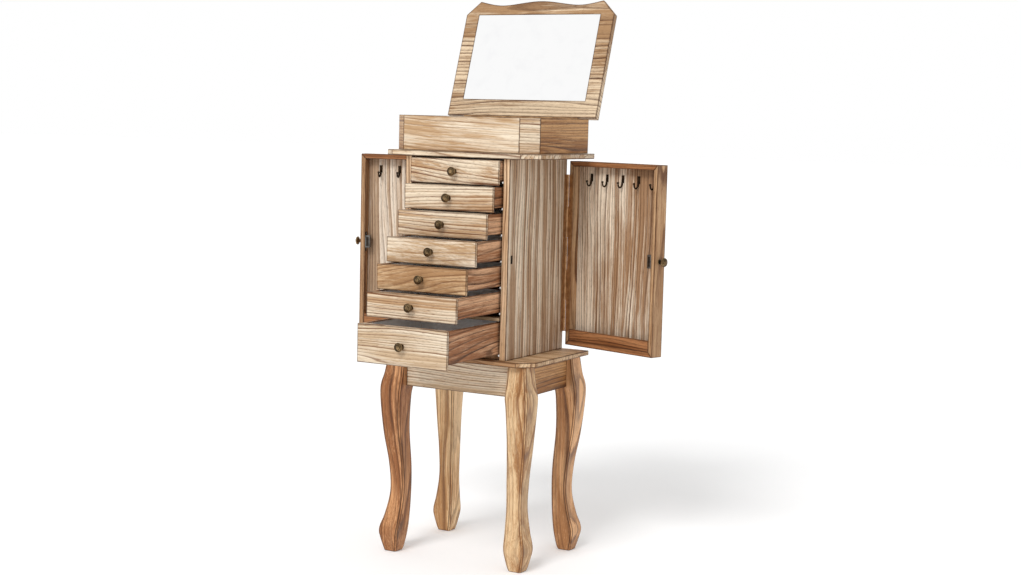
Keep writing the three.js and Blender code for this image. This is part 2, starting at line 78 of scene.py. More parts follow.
def linear(red: int, green: int, blue: int) -> Colour:
    """Converts a display colour to scene values.

    Args:
        red: Display red, 0 to 255.
        green: Display green, 0 to 255.
        blue: Display blue, 0 to 255.

    Returns:
        The three scene-linear values.
    """
    def one(value: int) -> float:
        """Converts a single channel."""
        share = value / 255
        return share / 12.92 if share <= 0.04045 else ((share + 0.055) / 1.055) ** 2.4

    return one(red), one(green), one(blue)


# ---------------------------------------------------------------- node graphs


class Graph:
    """A node tree being wired up."""

    def __init__(self, tree: bpy.types.NodeTree) -> None:
        """Takes the tree to work on and empties it."""
        self.tree = tree
        tree.nodes.clear()

    def add(self, kind: str, **settings: object) -> bpy.types.Node:
        """Adds a node.

        Args:
            kind: The node's type name without its ShaderNode prefix.
            **settings: Properties to set on it.

        Returns:
            The new node.
        """
        prefix = "" if kind.startswith("Node") else "ShaderNode"
        node = self.tree.nodes.new(prefix + kind)
        for name, value in settings.items():
            setattr(node, name, value)
        return node

    def feed(self, socket: bpy.types.NodeSocket, value: object) -> None:
        """Links or sets one input.

        Args:
            socket: The input.
            value: Another node's output, a number, a vector or a colour.
        """
        if isinstance(value, bpy.types.NodeSocket):
            self.tree.links.new(value, socket)
        elif socket.type == "RGBA" and len(value) == 3:
            socket.default_value = (*value, 1.0)
        else:
            socket.default_value = value

    def fill(self, node: bpy.types.Node, **values: object) -> bpy.types.Node:
        """Feeds several inputs by name, with underscores for spaces.

        Args:
            node: The node to feed.
            **values: Input names and what goes into them.

        Returns:
            The same node.
        """
        for name, value in values.items():
            self.feed(node.inputs[name.replace("_", " ")], value)
        return node

    def maths(self, operation: str, *values: object, clamp: bool = False) -> bpy.types.NodeSocket:
        """Adds a Math node.

        Args:
            operation: The node's operation.
            *values: Its inputs in order.
            clamp: Whether the result is held between 0 and 1.

        Returns:
            The result.
        """
        node = self.add("Math", operation=operation, use_clamp=clamp)
        for socket, value in zip(node.inputs, values):
            self.feed(socket, value)
        return node.outputs[0]

    def stretch(self, vector: object, x: float, y: float, z: float) -> bpy.types.NodeSocket:
        """Scales a vector unevenly."""
        node = self.add("VectorMath", operation="MULTIPLY")
        self.feed(node.inputs[0], vector)
        self.feed(node.inputs[1], (x, y, z))
        return node.outputs[0]

    def noise(self, vector: object, scale: object, detail: float = 2.0) -> bpy.types.NodeSocket:
        """Adds a Noise texture and returns its value."""
        node = self.add("TexNoise", normalize=True)
        self.fill(node, Vector=vector, Scale=scale, Detail=detail)
        return node.outputs["Fac"]

    def ramp(self, value: object, low: object, high: object,
             start: float = 0.0, end: float = 1.0) -> bpy.types.NodeSocket:
        """Maps a value smoothly from one range to another.

        Args:
            value: What is mapped.
            low: Where the rise begins.
            high: Where it ends.
            start: The result at low.
            end: The result at high.

        Returns:
            The mapped value.
        """
        node = self.add("MapRange", interpolation_type="SMOOTHSTEP")
        for name, given in zip(("Value", "From Min", "From Max", "To Min", "To Max"),
                               (value, low, high, start, end)):
            self.feed(node.inputs[name], given)
        return node.outputs["Result"]

    def mix(self, share: object, first: object, second: object, blend: str = "MIX") -> bpy.types.NodeSocket:
        """Mixes two colours.

        Args:
            share: How much of the second.
            first: The first colour.
            second: The second colour.
            blend: The blend type.

        Returns:
            The mixed colour.
        """
        node = self.add("Mix", data_type="RGBA", blend_type=blend)
        self.feed(node.inputs[0], share)
        self.feed(node.inputs[6], first)
        self.feed(node.inputs[7], second)
        return node.outputs[2]

    def bump(self, height: object, strength: float, distance: float) -> bpy.types.NodeSocket:
        """Turns a height into a normal."""
        node = self.fill(self.add("Bump"), Height=height, Strength=strength, Distance=distance)
        return node.outputs["Normal"]


class Effect:
    """A shader node group with named inputs and outputs, built once."""

    def __init__(self, name: str, inputs: dict[str, object], outputs: dict[str, str]) -> None:
        """Makes the empty group.

        Args:
            name: The group's name.
            inputs: Input names with their default values.
            outputs: Output names with their socket types.
        """
        self.group = bpy.data.node_groups.new(name, "ShaderNodeTree")
        self.graph = Graph(self.group)
        for label, default in inputs.items():
            kind = ("NodeSocketFloat" if isinstance(default, float)
                    else "NodeSocketVector" if label == "Vector" else "NodeSocketColor")
            socket = self.group.interface.new_socket(label, in_out="INPUT", socket_type=kind)
            if kind == "NodeSocketFloat":
                socket.min_value, socket.max_value = -10000.0, 10000.0
            socket.default_value = (*default, 1.0) if kind == "NodeSocketColor" else default
        for label, kind in outputs.items():
            self.group.interface.new_socket(label, in_out="OUTPUT", socket_type=kind)
        self.given = self.graph.add("NodeGroupInput").outputs
        self.result = self.graph.add("NodeGroupOutput").inputs

    def put_out(self, **values: object) -> None:
        """Connects the group's outputs."""
        for name, value in values.items():
            self.graph.feed(self.result[name], value)


def burnt_grain() -> Effect:
    """Growth rings of scorched and brushed softwood round the X axis of its vector.

    Returns:
        The effect, which puts out a colour, a roughness and a normal.
    """
    made = Effect(
        "burnt_grain",
        {"Vector": (0.0, 0.0, 0.0), "Pale": (0.6, 0.4, 0.3), "Middle": (0.5, 0.3, 0.2),
         "Dark": (0.1, 0.05, 0.03), "Edge": (0.1, 0.05, 0.02), "Rings": 150.0,
         "Depth": 0.8, "Bands": 0.4, "Across": 0.0, "Slope": 0.0, "Scorch": 0.0, "Roughness": 0.5},
        {"Color": "NodeSocketColor", "Roughness": "NodeSocketFloat", "Normal": "NodeSocketVector"},
    )
    g, given = made.graph, made.given
    place = given["Vector"]
    slow = g.noise(g.stretch(place, 2.2, 8.0, 8.0), 1.0, 1.0)
    quick = g.noise(g.stretch(place, 7.0, 60.0, 60.0), 1.0, 2.0)
    parts = g.add("SeparateXYZ")
    g.feed(parts.inputs[0], place)
    radius = g.maths("SQRT", g.maths("ADD", g.maths("MULTIPLY", parts.outputs["Y"], parts.outputs["Y"]),
                                     g.maths("MULTIPLY", parts.outputs["Z"], parts.outputs["Z"])))
    drift = g.maths("ADD", g.maths("MULTIPLY", g.maths("SUBTRACT", slow, 0.5), 0.05),
                    g.maths("MULTIPLY", g.maths("SUBTRACT", quick, 0.5), 0.0022))
    count = g.maths("MULTIPLY", g.maths("ADD", radius, drift), given["Rings"])
    count = g.maths("ADD", count, g.maths("MULTIPLY", g.noise(g.stretch(place, 0.0, 30.0, 30.0), 1.0, 1.0), 3.0))
    part = g.maths("FRACT", count)
    lot = g.add("TexWhiteNoise", noise_dimensions="1D")
    g.feed(lot.inputs["W"], g.maths("FLOOR", count))
    lot = lot.outputs["Value"]
    force = g.ramp(lot, 0.0, 1.0, 0.55, 1.0)
    line = g.maths("MULTIPLY", g.ramp(part, g.maths("SUBTRACT", 0.75, g.maths("MULTIPLY", lot, 0.35)), 0.86),
                   g.ramp(part, 0.93, 1.0, 1.0, 0.0))
    fade = g.ramp(g.noise(g.stretch(place, 5.0, 22.0, 22.0), 1.0, 3.0), 0.3, 0.6, 0.5, 1.0)
    line = g.maths("MULTIPLY", g.maths("MULTIPLY", line, force), fade)
    fibre = g.noise(g.stretch(place, 28.0, 900.0, 900.0), 1.0, 2.0)
    dash = g.ramp(g.noise(g.stretch(place, 90.0, 1100.0, 1100.0), 1.0, 1.0), 0.58, 0.72)
    blotch = g.noise(g.stretch(place, 3.5, 16.0, 16.0), 1.0, 3.0)
    streak = g.noise(g.stretch(place, 4.0, 230.0, 230.0), 1.0, 2.0)
    tone = g.maths("ADD", g.ramp(blotch, 0.34, 0.66), g.maths("MULTIPLY", g.maths("SUBTRACT", fibre, 0.5), 1.9))
    tone = g.maths("ADD", tone, g.maths("MULTIPLY", g.maths("SUBTRACT", streak, 0.5), 2.2))
    # Slope shifts the tone towards the middle colour across the board; the right door panel uses it as painted
    # light by the hinge.
    tone = g.maths("ADD", tone, g.maths("MULTIPLY", g.maths("ADD", parts.outputs["Y"], given["Across"]),
                                        given["Slope"]))
    other = g.add("TexWhiteNoise", noise_dimensions="1D")
    g.feed(other.inputs["W"], g.maths("ADD", g.maths("FLOOR", g.maths("SUBTRACT", count, 0.12)), 40.5))
    band = g.maths("MULTIPLY", g.maths("SUBTRACT", other.outputs["Value"], 0.5),
                   g.maths("MULTIPLY", given["Bands"], 1.8))
    base = g.mix(g.maths("ADD", tone, band, clamp=True), given["Pale"], given["Middle"])
    haze = g.maths("MULTIPLY", g.ramp(part, 0.15, 0.9), 0.42)
    inked = g.maths("MAXIMUM", line, g.maths("MULTIPLY", haze, force))
    inked = g.maths("MULTIPLY", g.maths("ADD", inked, g.maths("MULTIPLY", dash, 0.42)), given["Depth"], clamp=True)
    colour = g.mix(inked, base, given["Dark"])
    nibble = g.noise(g.stretch(place, 40.0, 90.0, 90.0), 1.0, 3.0)
    ragged = g.maths("ADD", given["Scorch"], g.maths("MULTIPLY", g.maths("SUBTRACT", nibble, 0.5), 0.9))
    burn = g.maths("MULTIPLY", g.ramp(ragged, 0.3, 1.05), g.ramp(given["Scorch"], 0.0, 0.15))
    colour = g.mix(g.maths("MULTIPLY", burn, 0.8), colour, given["Edge"])
    rough = g.maths("ADD", given["Roughness"], g.maths("MULTIPLY", g.maths("SUBTRACT", fibre, line), 0.14))
    height = g.maths("ADD", g.maths("MULTIPLY", line, -0.7), g.maths("MULTIPLY", fibre, 0.35))
    made.put_out(Color=colour, Roughness=rough, Normal=g.bump(height, 0.45, 0.0004))
    return made


def patina() -> Effect:
    """Dark tarnish in patches over a rubbed metal.

    Returns:
        The effect, which puts out a colour, a roughness and a normal.
    """
    made = Effect(
        "patina",
        {"Vector": (0.0, 0.0, 0.0), "Bright": (0.3, 0.2, 0.1), "Tarnish": (0.05, 0.03, 0.02),
         "Amount": 0.5, "Hollow": 0.0, "Roughness": 0.4},
        {"Color": "NodeSocketColor", "Roughness": "NodeSocketFloat", "Normal": "NodeSocketVector"},
    )
    g, given = made.graph, made.given
    patch = g.noise(given["Vector"], 85.0, 2.0)
    cover = g.ramp(g.maths("ADD", patch, g.maths("SUBTRACT", given["Amount"], 0.5)), 0.3, 0.7)
    cover = g.maths("MAXIMUM", g.maths("MULTIPLY", cover, 0.75), given["Hollow"])
    speck = g.noise(given["Vector"], 2600.0, 2.0)
    rough = g.maths("ADD", given["Roughness"], g.maths("MULTIPLY", cover, 0.22))
    made.put_out(Color=g.mix(cover, given["Bright"], given["Tarnish"]), Roughness=rough,
                 Normal=g.bump(g.maths("ADD", speck, patch), 0.2, 0.0001))
    return made


def nap() -> Effect:
    """Short pile brushed this way and that.

    Returns:
        The effect, which puts out a colour and a normal.
    """
    made = Effect(
        "nap",
        {"Vector": (0.0, 0.0, 0.0), "Pile": (0.05, 0.05, 0.05), "Crush": (0.1, 0.1, 0.1), "Grain": 2400.0},
        {"Color": "NodeSocketColor", "Normal": "NodeSocketVector"},
    )
    g, given = made.graph, made.given
    brushed = g.noise(given["Vector"], 55.0, 3.0)
    tuft = g.noise(given["Vector"], given["Grain"])
    share = g.ramp(g.maths("ADD", g.maths("MULTIPLY", brushed, 0.7), g.maths("MULTIPLY", tuft, 0.3)), 0.36, 0.66)
    made.put_out(Color=g.mix(share, given["Pile"], given["Crush"]), Normal=g.bump(tuft, 0.5, 0.0003))
    return made


EFFECTS: dict[str, Effect] = {}


def effect(name: str) -> Effect:
    """Builds a shared effect the first time it is asked for.

    Args:
        name: burnt_grain, patina or nap.

    Returns:
        The effect.
    """
    if name not in EFFECTS:
        EFFECTS[name] = {"burnt_grain": burnt_grain, "patina": patina, "nap": nap}[name]()
    return EFFECTS[name]


# ---------------------------------------------------------------- finishes


class Figure(Enum):
    """How a board was sawn: growth axis beside it, growth axis below its face, and tilt in degrees."""

    STRAIGHT = (0.310, 0.050, 0.2)
    RIFT = (0.120, 0.060, 1.2)
    BROAD = (0.060, 0.045, 5.0)


@dataclass(frozen=True)
class Sawing:
    """The way a board's grain lies."""

    along: Vector
    face: Vector
    figure: Figure = Figure.STRAIGHT
    skew: float = 0.0          # degrees across the face
    shift: float = 0.0         # metres along the log

    def turned(self, turn: Matrix) -> "Sawing":
        """The same sawing on a board that is turned."""
        return Sawing(turn @ self.along, turn @ self.face, self.figure, self.skew, self.shift)

    def basis(self) -> Matrix:
        """The board's own axes: X along the grain, Z out of the show face."""
        across = self.face.cross(self.along).normalized()
        axes = Matrix((self.along.normalized(), across, self.face.normalized())).transposed()
        lean = Matrix.Rotation(math.radians(self.figure.value[2]), 3, "Y")
        return axes @ Matrix.Rotation(math.radians(self.skew), 3, "Z") @ lean

    def origin(self, centre: Vector) -> Vector:
        """Where the log's middle passes for a board with that centre."""
        beside, below, _ = self.figure.value
        return centre + self.basis() @ Vector((self.shift, beside, -below))


def begin_material(name: str) -> tuple[bpy.types.Material, Graph, bpy.types.Node, bpy.types.NodeSocket]:
    """Starts a material with its shader and its Object coordinates.

    Args:
        name: The material's name.

    Returns:
        The material, its graph, its Principled shader and the coordinates.
    """
    material = bpy.data.materials.new(name)
    material.use_nodes = True
    graph = Graph(material.node_tree)
    shader = graph.add("BsdfPrincipled")
    graph.feed(graph.add("OutputMaterial").inputs["Surface"], shader.outputs["BSDF"])
    return material, graph, shader, graph.add("TexCoord").outputs["Object"]


@dataclass(frozen=True)
class WoodFinish:
    """Scorched, brushed and lacquered softwood."""

    name: str
    pale: Colour
    middle: Colour
    dark: Colour
    rings: float = 150.0
    depth: float = 0.9
    bands: float = 0.4
    roughness: float = 0.52
    slope: float = 0.0         # shift to the middle colour per metre across the board, used as painted light by the hinge on the right door panel
    edge: Colour = linear(70, 40, 20)

    def material(self, label: str, centre: Vector, sawing: Sawing) -> bpy.types.Material:
        """Makes the finish for one board.

        Args:
            label: The board's name.
            centre: The middle of the board.
            sawing: How its grain lies.

        Returns:
            The board's material.
        """
        material, g, shader, place = begin_material(f"{self.name}.{label}")
        mapping = g.add("Mapping", vector_type="TEXTURE")
        g.feed(mapping.inputs["Vector"], place)
        mapping.inputs["Location"].default_value = sawing.origin(centre)
        mapping.inputs["Rotation"].default_value = sawing.basis().to_euler()
        grain = g.add("Group", node_tree=effect("burnt_grain").group)
        scorch = g.add("Attribute", attribute_name=SCORCH)
        g.fill(grain, Vector=mapping.outputs[0], Pale=self.pale, Middle=self.middle, Dark=self.dark,
               Edge=self.edge, Rings=self.rings, Depth=self.depth, Bands=self.bands,
               Across=sawing.figure.value[0], Slope=self.slope, Scorch=scorch.outputs["Fac"],
               Roughness=self.roughness)
        g.fill(shader, Base_Color=grain.outputs["Color"], Roughness=grain.outputs["Roughness"],
               Normal=grain.outputs["Normal"], Specular_IOR_Level=0.25, Coat_Weight=0.04, Coat_Roughness=0.35)
        return material


@dataclass(frozen=True)
class MetalFinish:
    """Metal with tarnish in its hollows."""

    name: str
    bright: Colour
    tarnish: Colour
    amount: float
    roughness: float

    @cache
    def material(self) -> bpy.types.Material:
        """Makes the metal's material."""
        material, g, shader, place = begin_material(self.name)
        group = g.add("Group", node_tree=effect("patina").group)
        hollow = g.add("Attribute", attribute_name=SCORCH)
        g.fill(group, Vector=place, Bright=self.bright, Tarnish=self.tarnish, Amount=self.amount,
               Hollow=hollow.outputs["Fac"], Roughness=self.roughness)
        g.fill(shader, Base_Color=group.outputs["Color"], Roughness=group.outputs["Roughness"],
               Normal=group.outputs["Normal"], Metallic=0.9)
        return material


@dataclass(frozen=True)
class PileFinish:
    """Felt or velvet."""

    name: str
    pile: Colour
    crush: Colour
    grain: float
    sheen: float

    @cache
    def material(self) -> bpy.types.Material:
        """Makes the cloth's material."""
        material, g, shader, place = begin_material(self.name)
        group = g.add("Group", node_tree=effect("nap").group)
        g.fill(group, Vector=place, Pile=self.pile, Crush=self.crush, Grain=self.grain)
        g.fill(shader, Base_Color=group.outputs["Color"], Roughness=0.95, Normal=group.outputs["Normal"],
               Sheen_Weight=self.sheen, Sheen_Roughness=0.5, Specular_IOR_Level=0.2)
        return material


@dataclass(frozen=True)
class PlasticFinish:
    """Moulded nylon."""

    name: str
    colour: Colour
    dull: Colour

    @cache
    def material(self) -> bpy.types.Material:
        """Makes the plastic's material."""
        material, g, shader, place = begin_material(self.name)
        mottle = g.noise(place, 900.0, 2.0)
        g.fill(shader, Base_Color=g.mix(g.ramp(mottle, 0.3, 0.7), self.colour, self.dull), Roughness=0.38,
               Normal=g.bump(mottle, 0.1, 0.0001))
        return material


@dataclass(frozen=True)
class MirrorFinish:
    """Silvered glass."""

    name: str
    silver: Colour
    cloud: Colour

    @cache
    def material(self) -> bpy.types.Material:
        """Makes the mirror's material, with a breath of dust on it."""
        material, g, shader, place = begin_material(self.name)
        dust = g.ramp(g.noise(place, 35.0, 4.0), 0.45, 0.8)
        g.fill(shader, Base_Color=g.mix(g.maths("MULTIPLY", dust, 0.3), self.silver, self.cloud), Metallic=1.0,
               Roughness=g.maths("ADD", 0.02, g.maths("MULTIPLY", dust, 0.03)))
        return material


PALE = WoodFinish("pale_wood", linear(230, 213, 187), linear(184, 148, 110), linear(104, 60, 30), depth=1.0)
BLOND = WoodFinish("blond_wood", linear(227, 212, 189), linear(196, 170, 138), linear(110, 70, 40), depth=1.0)
SOFT = WoodFinish("soft_wood", linear(232, 216, 192), linear(186, 152, 114), linear(116, 74, 40), depth=0.62,
                  bands=0.3)
HONEY = WoodFinish("honey_wood", linear(214, 182, 142), linear(170, 130, 90), linear(98, 60, 32), depth=0.7)
WARM = WoodFinish("warm_wood", linear(218, 188, 150), linear(166, 126, 88), linear(90, 50, 24), depth=1.0)
# Wood for the right-hand boards that face +X: partly their own brown tone, partly painted shade, darker because
# that side faces away from the key light.
GOLD_PAINTED_SHADE = WoodFinish("gold_wood_painted_shade", linear(200, 154, 104), linear(148, 100, 56), linear(64, 32, 12), rings=105.0,
                  depth=1.0)
LID = WoodFinish("lid_wood", linear(226, 202, 170), linear(164, 128, 92), linear(84, 50, 28), rings=130.0,
                 depth=1.0, slope=3.8)
PANEL = WoodFinish("panel_wood", linear(232, 215, 192), linear(172, 140, 110), linear(84, 56, 36), rings=115.0,
                   depth=1.0, bands=1.0)
DOOR_PANELS = {
    "left": WoodFinish("left_panel_wood", linear(234, 219, 200), linear(182, 154, 126), linear(92, 62, 42),
                       rings=115.0, depth=0.9, bands=0.9),
    # The right panel's slope makes it paler towards the hinge, painted light against the shade that falls there,
    # and darker towards the free edge.
    "right": WoodFinish("right_panel_wood", linear(238, 222, 200), linear(160, 124, 92), linear(84, 54, 34),
                        rings=115.0, depth=1.0, bands=0.45, slope=-6.5),
}
TRIM = WoodFinish("trim_wood", linear(196, 160, 122), linear(156, 116, 80), linear(90, 54, 28), rings=170.0,
                  depth=1.0)
EDGING = WoodFinish("edging_wood", linear(226, 194, 158), linear(190, 152, 114), linear(112, 72, 42), rings=170.0,
                    depth=0.9)
BROWN = WoodFinish("brown_wood", linear(166, 114, 74), linear(124, 76, 42), linear(56, 28, 12), rings=120.0,
                   depth=1.0)
SIDES = WoodFinish("drawer_wood", linear(218, 172, 134), linear(146, 96, 62), linear(40, 18, 8), rings=110.0,
                   depth=1.0, bands=0.7)
LEG_PALE = WoodFinish("pale_leg", linear(220, 188, 146), linear(166, 120, 76), linear(98, 58, 30), rings=80.0,
                      depth=0.65, roughness=0.4, edge=linear(94, 54, 26))
LEG_BROWN = WoodFinish("brown_leg", linear(204, 150, 104), linear(142, 90, 52), linear(64, 34, 16), rings=80.0,
                       depth=0.75, roughness=0.4, edge=linear(58, 30, 12))
# The rear legs' woods are partly their own tone and partly painted light: made paler to make up for the shade that
# falls on the rear legs.
LEG_FAIR_PAINTED_LIGHT = WoodFinish("fair_leg_painted_light", linear(242, 208, 162), linear(188, 140, 92), linear(98, 58, 30), rings=80.0,
                      depth=0.65, roughness=0.4, edge=linear(94, 54, 26))
LEG_TAN_PAINTED_LIGHT = WoodFinish("tan_leg_painted_light", linear(226, 176, 128), linear(170, 118, 74), linear(72, 38, 18), rings=80.0,
                     depth=0.75, roughness=0.4, edge=linear(66, 34, 14))
PLY = WoodFinish("inner_ply", linear(186, 150, 114), linear(154, 116, 82), linear(100, 66, 42), depth=0.6,
                 roughness=0.7)
BRASS = MetalFinish("aged_brass", linear(158, 130, 92), linear(26, 19, 12), 0.52, 0.22)
BRONZE = MetalFinish("hook_bronze", linear(72, 54, 36), linear(24, 18, 13), 0.55, 0.28)
HINGE = MetalFinish("hinge_brass", linear(186, 148, 108), linear(150, 114, 80), 0.5, 0.42)
STEEL = MetalFinish("catch_steel", linear(122, 120, 117), linear(88, 85, 82), 0.45, 0.36)
BLACKENED = MetalFinish("blackened_steel", linear(70, 62, 54), linear(44, 39, 34), 0.5, 0.45)
FELT = PileFinish("grey_felt", linear(66, 66, 70), linear(96, 96, 100), 2400.0, 0.25)
LINING = PileFinish("pale_felt", linear(246, 246, 246), linear(253, 253, 253), 2400.0, 0.3)
VELVET = PileFinish("black_velvet", linear(34, 34, 38), linear(64, 64, 70), 3000.0, 0.6)
NYLON = PlasticFinish("white_nylon", linear(250, 250, 248), linear(240, 240, 236))
GLASS = MirrorFinish("mirror_glass", linear(250, 250, 250), linear(238, 238, 240))


# ---------------------------------------------------------------- stock


@dataclass(frozen=True)
class Swing:
    """A hinge's turn from closed to rest."""

    pivot: Vector
    turn: Matrix

    def opened(self) -> Matrix:
        """Takes closed places to rest places."""
        return Matrix.Translation(self.pivot) @ self.turn.to_4x4() @ Matrix.Translation(-self.pivot)

    def closed(self) -> Matrix:
        """Takes rest places to closed places."""
        return self.opened().inverted()


STILL = Swing(Vector(), Matrix.Identity(3))


def joint_swing(name: str, axis: str, sign: float) -> Swing:
    """Reads a hinge from the frame.

    Args:
        name: The joint's name.
        axis: The row-frame axis it turns about.
        sign: Direction of the opening about that axis.

    Returns:
        The hinge's turn from closed to rest.
    """
    joint = next(j for j in frame["joints"] if j["name"] == name)
    opening = max(abs(v) for v in joint["range_deg"])
    return Swing(Vector(joint["pos_m"]), Matrix.Rotation(math.radians(sign * opening), 3, axis))


@dataclass
class Stock:
    """A piece on the bench: parts are added, eased, scorched and given their materials."""

    name: str
    bm: bmesh.types.BMesh = field(default_factory=bmesh.new)
    materials: list[bpy.types.Material] = field(default_factory=list)
    current: int = 0

    def __post_init__(self) -> None:
        """Gives the mesh its scorch layer and a layer that marks the faces of finished parts."""
        self.bm.verts.layers.float.new(SCORCH)
        self.bm.faces.layers.int.new(DONE)

    def start(self, material: bpy.types.Material) -> None:
        """Begins a part in that material: faces made from now on are its faces."""
        if material not in self.materials:
            self.materials.append(material)
        self.current = self.materials.index(material)

    def faces(self) -> list[BMFace]:
        """The faces of the part in hand."""
        done = self.bm.faces.layers.int[DONE]
        return [f for f in self.bm.faces if not f[done]]

    def verts(self) -> list[BMVert]:
        """The vertices of the part in hand."""
        done = self.bm.faces.layers.int[DONE]
        return [v for v in self.bm.verts if not any(f[done] for f in v.link_faces)]

    def edges(self) -> list[BMEdge]:
        """The edges of the part in hand, in the same order on every run, which a set wouldn't give."""
        return list(dict.fromkeys(e for f in self.faces() for e in f.edges))

    def close(self) -> None:
        """Ends a part: its faces take their material."""
        done = self.bm.faces.layers.int[DONE]
        for face in self.faces():
            face.material_index = self.current
            face[done] = 1

    def ease(self, width: float, segments: int = 2) -> None:
        """Rounds the sharp edges of the part in hand.

        Args:
            width: The bevel's width.
            segments: How many strips it has.
        """
        edges = [e for e in self.edges() if len(e.link_faces) == 2 and e.calc_face_angle(0.0) > SHARP]
        if edges:
            bmesh.ops.bevel(self.bm, geom=edges, offset=width, offset_type="OFFSET", affect="EDGES",
                            segments=segments, profile=0.5, material=-1, clamp_overlap=True)

    def scorch(self, reach: float, crease: float = CREASE) -> None:
        """Marks the edges of the part in hand as burnt, fading out over the reach.

        Args:
            reach: How far the burn runs into a face.
            crease: Faces that meet flatter than this are one face.
        """
        flats = [f for f in self.faces() if breadth([f]) > NARROW]
        inner: list[BMFace] = []
        for island in islands(flats, crease):
            depth = min(reach, 0.24 * breadth(island))
            bmesh.ops.inset_region(self.bm, faces=island, thickness=depth, use_even_offset=True,
                                   use_boundary=True, use_interpolate=True)
            inner += island
        layer = self.bm.verts.layers.float[SCORCH]
        for vert in self.verts():
            vert[layer] = 1.0
        for face in inner:
            for vert in face.verts:
                vert[layer] = 0.0

    def block(self, lo: Vector, hi: Vector, material: bpy.types.Material, ease: float = 0.7 * MM,
              reach: float = 3.2 * MM) -> None:
        """Adds a square-cornered board between two corners.

        Args:
            lo: Lowest corner.
            hi: Highest corner.
            material: Its material.
            ease: Width of its rounded edges.
            reach: How far the burnt edge runs in, or 0 for none.
        """
        self.start(material)
        place = Matrix.Translation((lo + hi) / 2) @ Matrix.Diagonal((*(hi - lo), 1.0))
        bmesh.ops.create_cube(self.bm, size=1.0, matrix=place)
        self.ease(ease)
        if reach:
            self.scorch(reach)
        self.close()

    def copied(self, node: str, material: bpy.types.Material, swing: Swing = STILL, ease: float = 0.7 * MM,
               reach: float = 3.2 * MM) -> None:
        """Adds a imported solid's own shape, closed if it hangs on a hinge, with eased and burnt edges.

        Args:
            node: The solid's name.
            material: Its material.
            swing: The hinge it hangs on.
            ease: Width of its rounded edges.
            reach: How far the burnt edge runs in, or 0 for none.
        """
        self.start(material)
        self.bm.from_mesh(frame["nodes"][node].data)
        bmesh.ops.remove_doubles(self.bm, verts=self.verts(), dist=WELD)
        bmesh.ops.transform(self.bm, matrix=swing.closed(), verts=self.verts())
        bmesh.ops.dissolve_limit(self.bm, angle_limit=FLAT, verts=self.verts(),
                                 edges=self.edges())
        self.ease(ease)
        if reach:
            self.scorch(reach)
        self.close()

    def finish(self, body: str, slot: str, replaces: Sequence[str] = (), swing: Swing = STILL,
               smooth: float = 30.0) -> bpy.types.Object:
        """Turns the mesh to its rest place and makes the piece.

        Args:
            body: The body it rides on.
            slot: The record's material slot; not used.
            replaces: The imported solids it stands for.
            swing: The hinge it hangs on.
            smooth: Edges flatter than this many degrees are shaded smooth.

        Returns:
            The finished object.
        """
        bmesh.ops.transform(self.bm, matrix=swing.opened(), verts=list(self.bm.verts))
        limit = math.radians(smooth)
        for face in self.bm.faces:
            face.smooth = True
        for edge in self.bm.edges:
            edge.smooth = len(edge.link_faces) == 2 and edge.calc_face_angle(0.0) < limit
        self.bm.faces.layers.int.remove(self.bm.faces.layers.int[DONE])
        mesh = bpy.data.meshes.new(self.name)
        self.bm.to_mesh(mesh)
        self.bm.free()
        for material in self.materials:
            mesh.materials.append(material)
        piece = bpy.data.objects.new(self.name, mesh)
        bpy.context.scene.collection.objects.link(piece)
        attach(piece, body)
        if replaces:
            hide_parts(*replaces)
        log.info("%s: %d faces on %s", self.name, len(mesh.polygons), body)
        return piece


def breadth(faces: Iterable[BMFace]) -> float:
    """How wide a flat patch is: twice its area over its border.

    Args:
        faces: The faces of the patch.

    Returns:
        The width in metres.
    """
    faces = list(faces)
    inside = set(faces)
    area = sum(f.calc_area() for f in faces)
    border = sum(e.calc_length() for f in faces for e in f.edges
                 if sum(g in inside for g in e.link_faces) == 1)
    return 2 * area / border if border else 0.0


def islands(faces: Iterable[BMFace], crease: float) -> list[list[BMFace]]:
    """Splits faces into flat patches.

    Args:
        faces: The faces to split.
        crease: Faces that meet flatter than this are in one patch.

    Returns:
        One list for each patch.
    """
    left = list(faces)
    waiting = set(left)
    found = []
    for seed in left:
        if seed not in waiting:
            continue
        waiting.discard(seed)
        patch, edge = [], [seed]
        while edge:
            face = edge.pop()
            patch.append(face)
            for neighbour in (g for e in face.edges if e.calc_face_angle(0.0) < crease for g in e.link_faces):
                if neighbour in waiting:
                    waiting.discard(neighbour)
                    edge.append(neighbour)
        found.append(patch)
    return found


def spun(stock: Stock, profile: Sequence[tuple[float, float]], place: Matrix, material: bpy.types.Material,
         steps: int = 40) -> list[BMVert]:
    """Turns a profile on the lathe.

    Args:
        stock: The piece that gets the part.
        profile: Radius and height pairs in millimetres, from the foot's middle to the head's.
        place: Takes the lathe's Z axis to its place.
        material: The part's material.
        steps: Divisions round the turn.

    Returns:
        The part's vertices.
    """
    stock.start(material)
    bm = stock.bm
    points = [bm.verts.new(place @ Vector((r * MM, 0, h * MM))) for r, h in profile]
    edges = [bm.edges.new(pair) for pair in zip(points, points[1:])]
    axis = (place.to_3x3() @ UP).normalized()
    bmesh.ops.spin(bm, geom=points + edges, cent=place.translation, axis=axis, angle=2 * math.pi, steps=steps,
                   use_merge=True)
    bmesh.ops.remove_doubles(bm, verts=stock.verts(), dist=WELD)
    bmesh.ops.recalc_face_normals(bm, faces=stock.faces())
    made = stock.verts()
    stock.close()
    return made


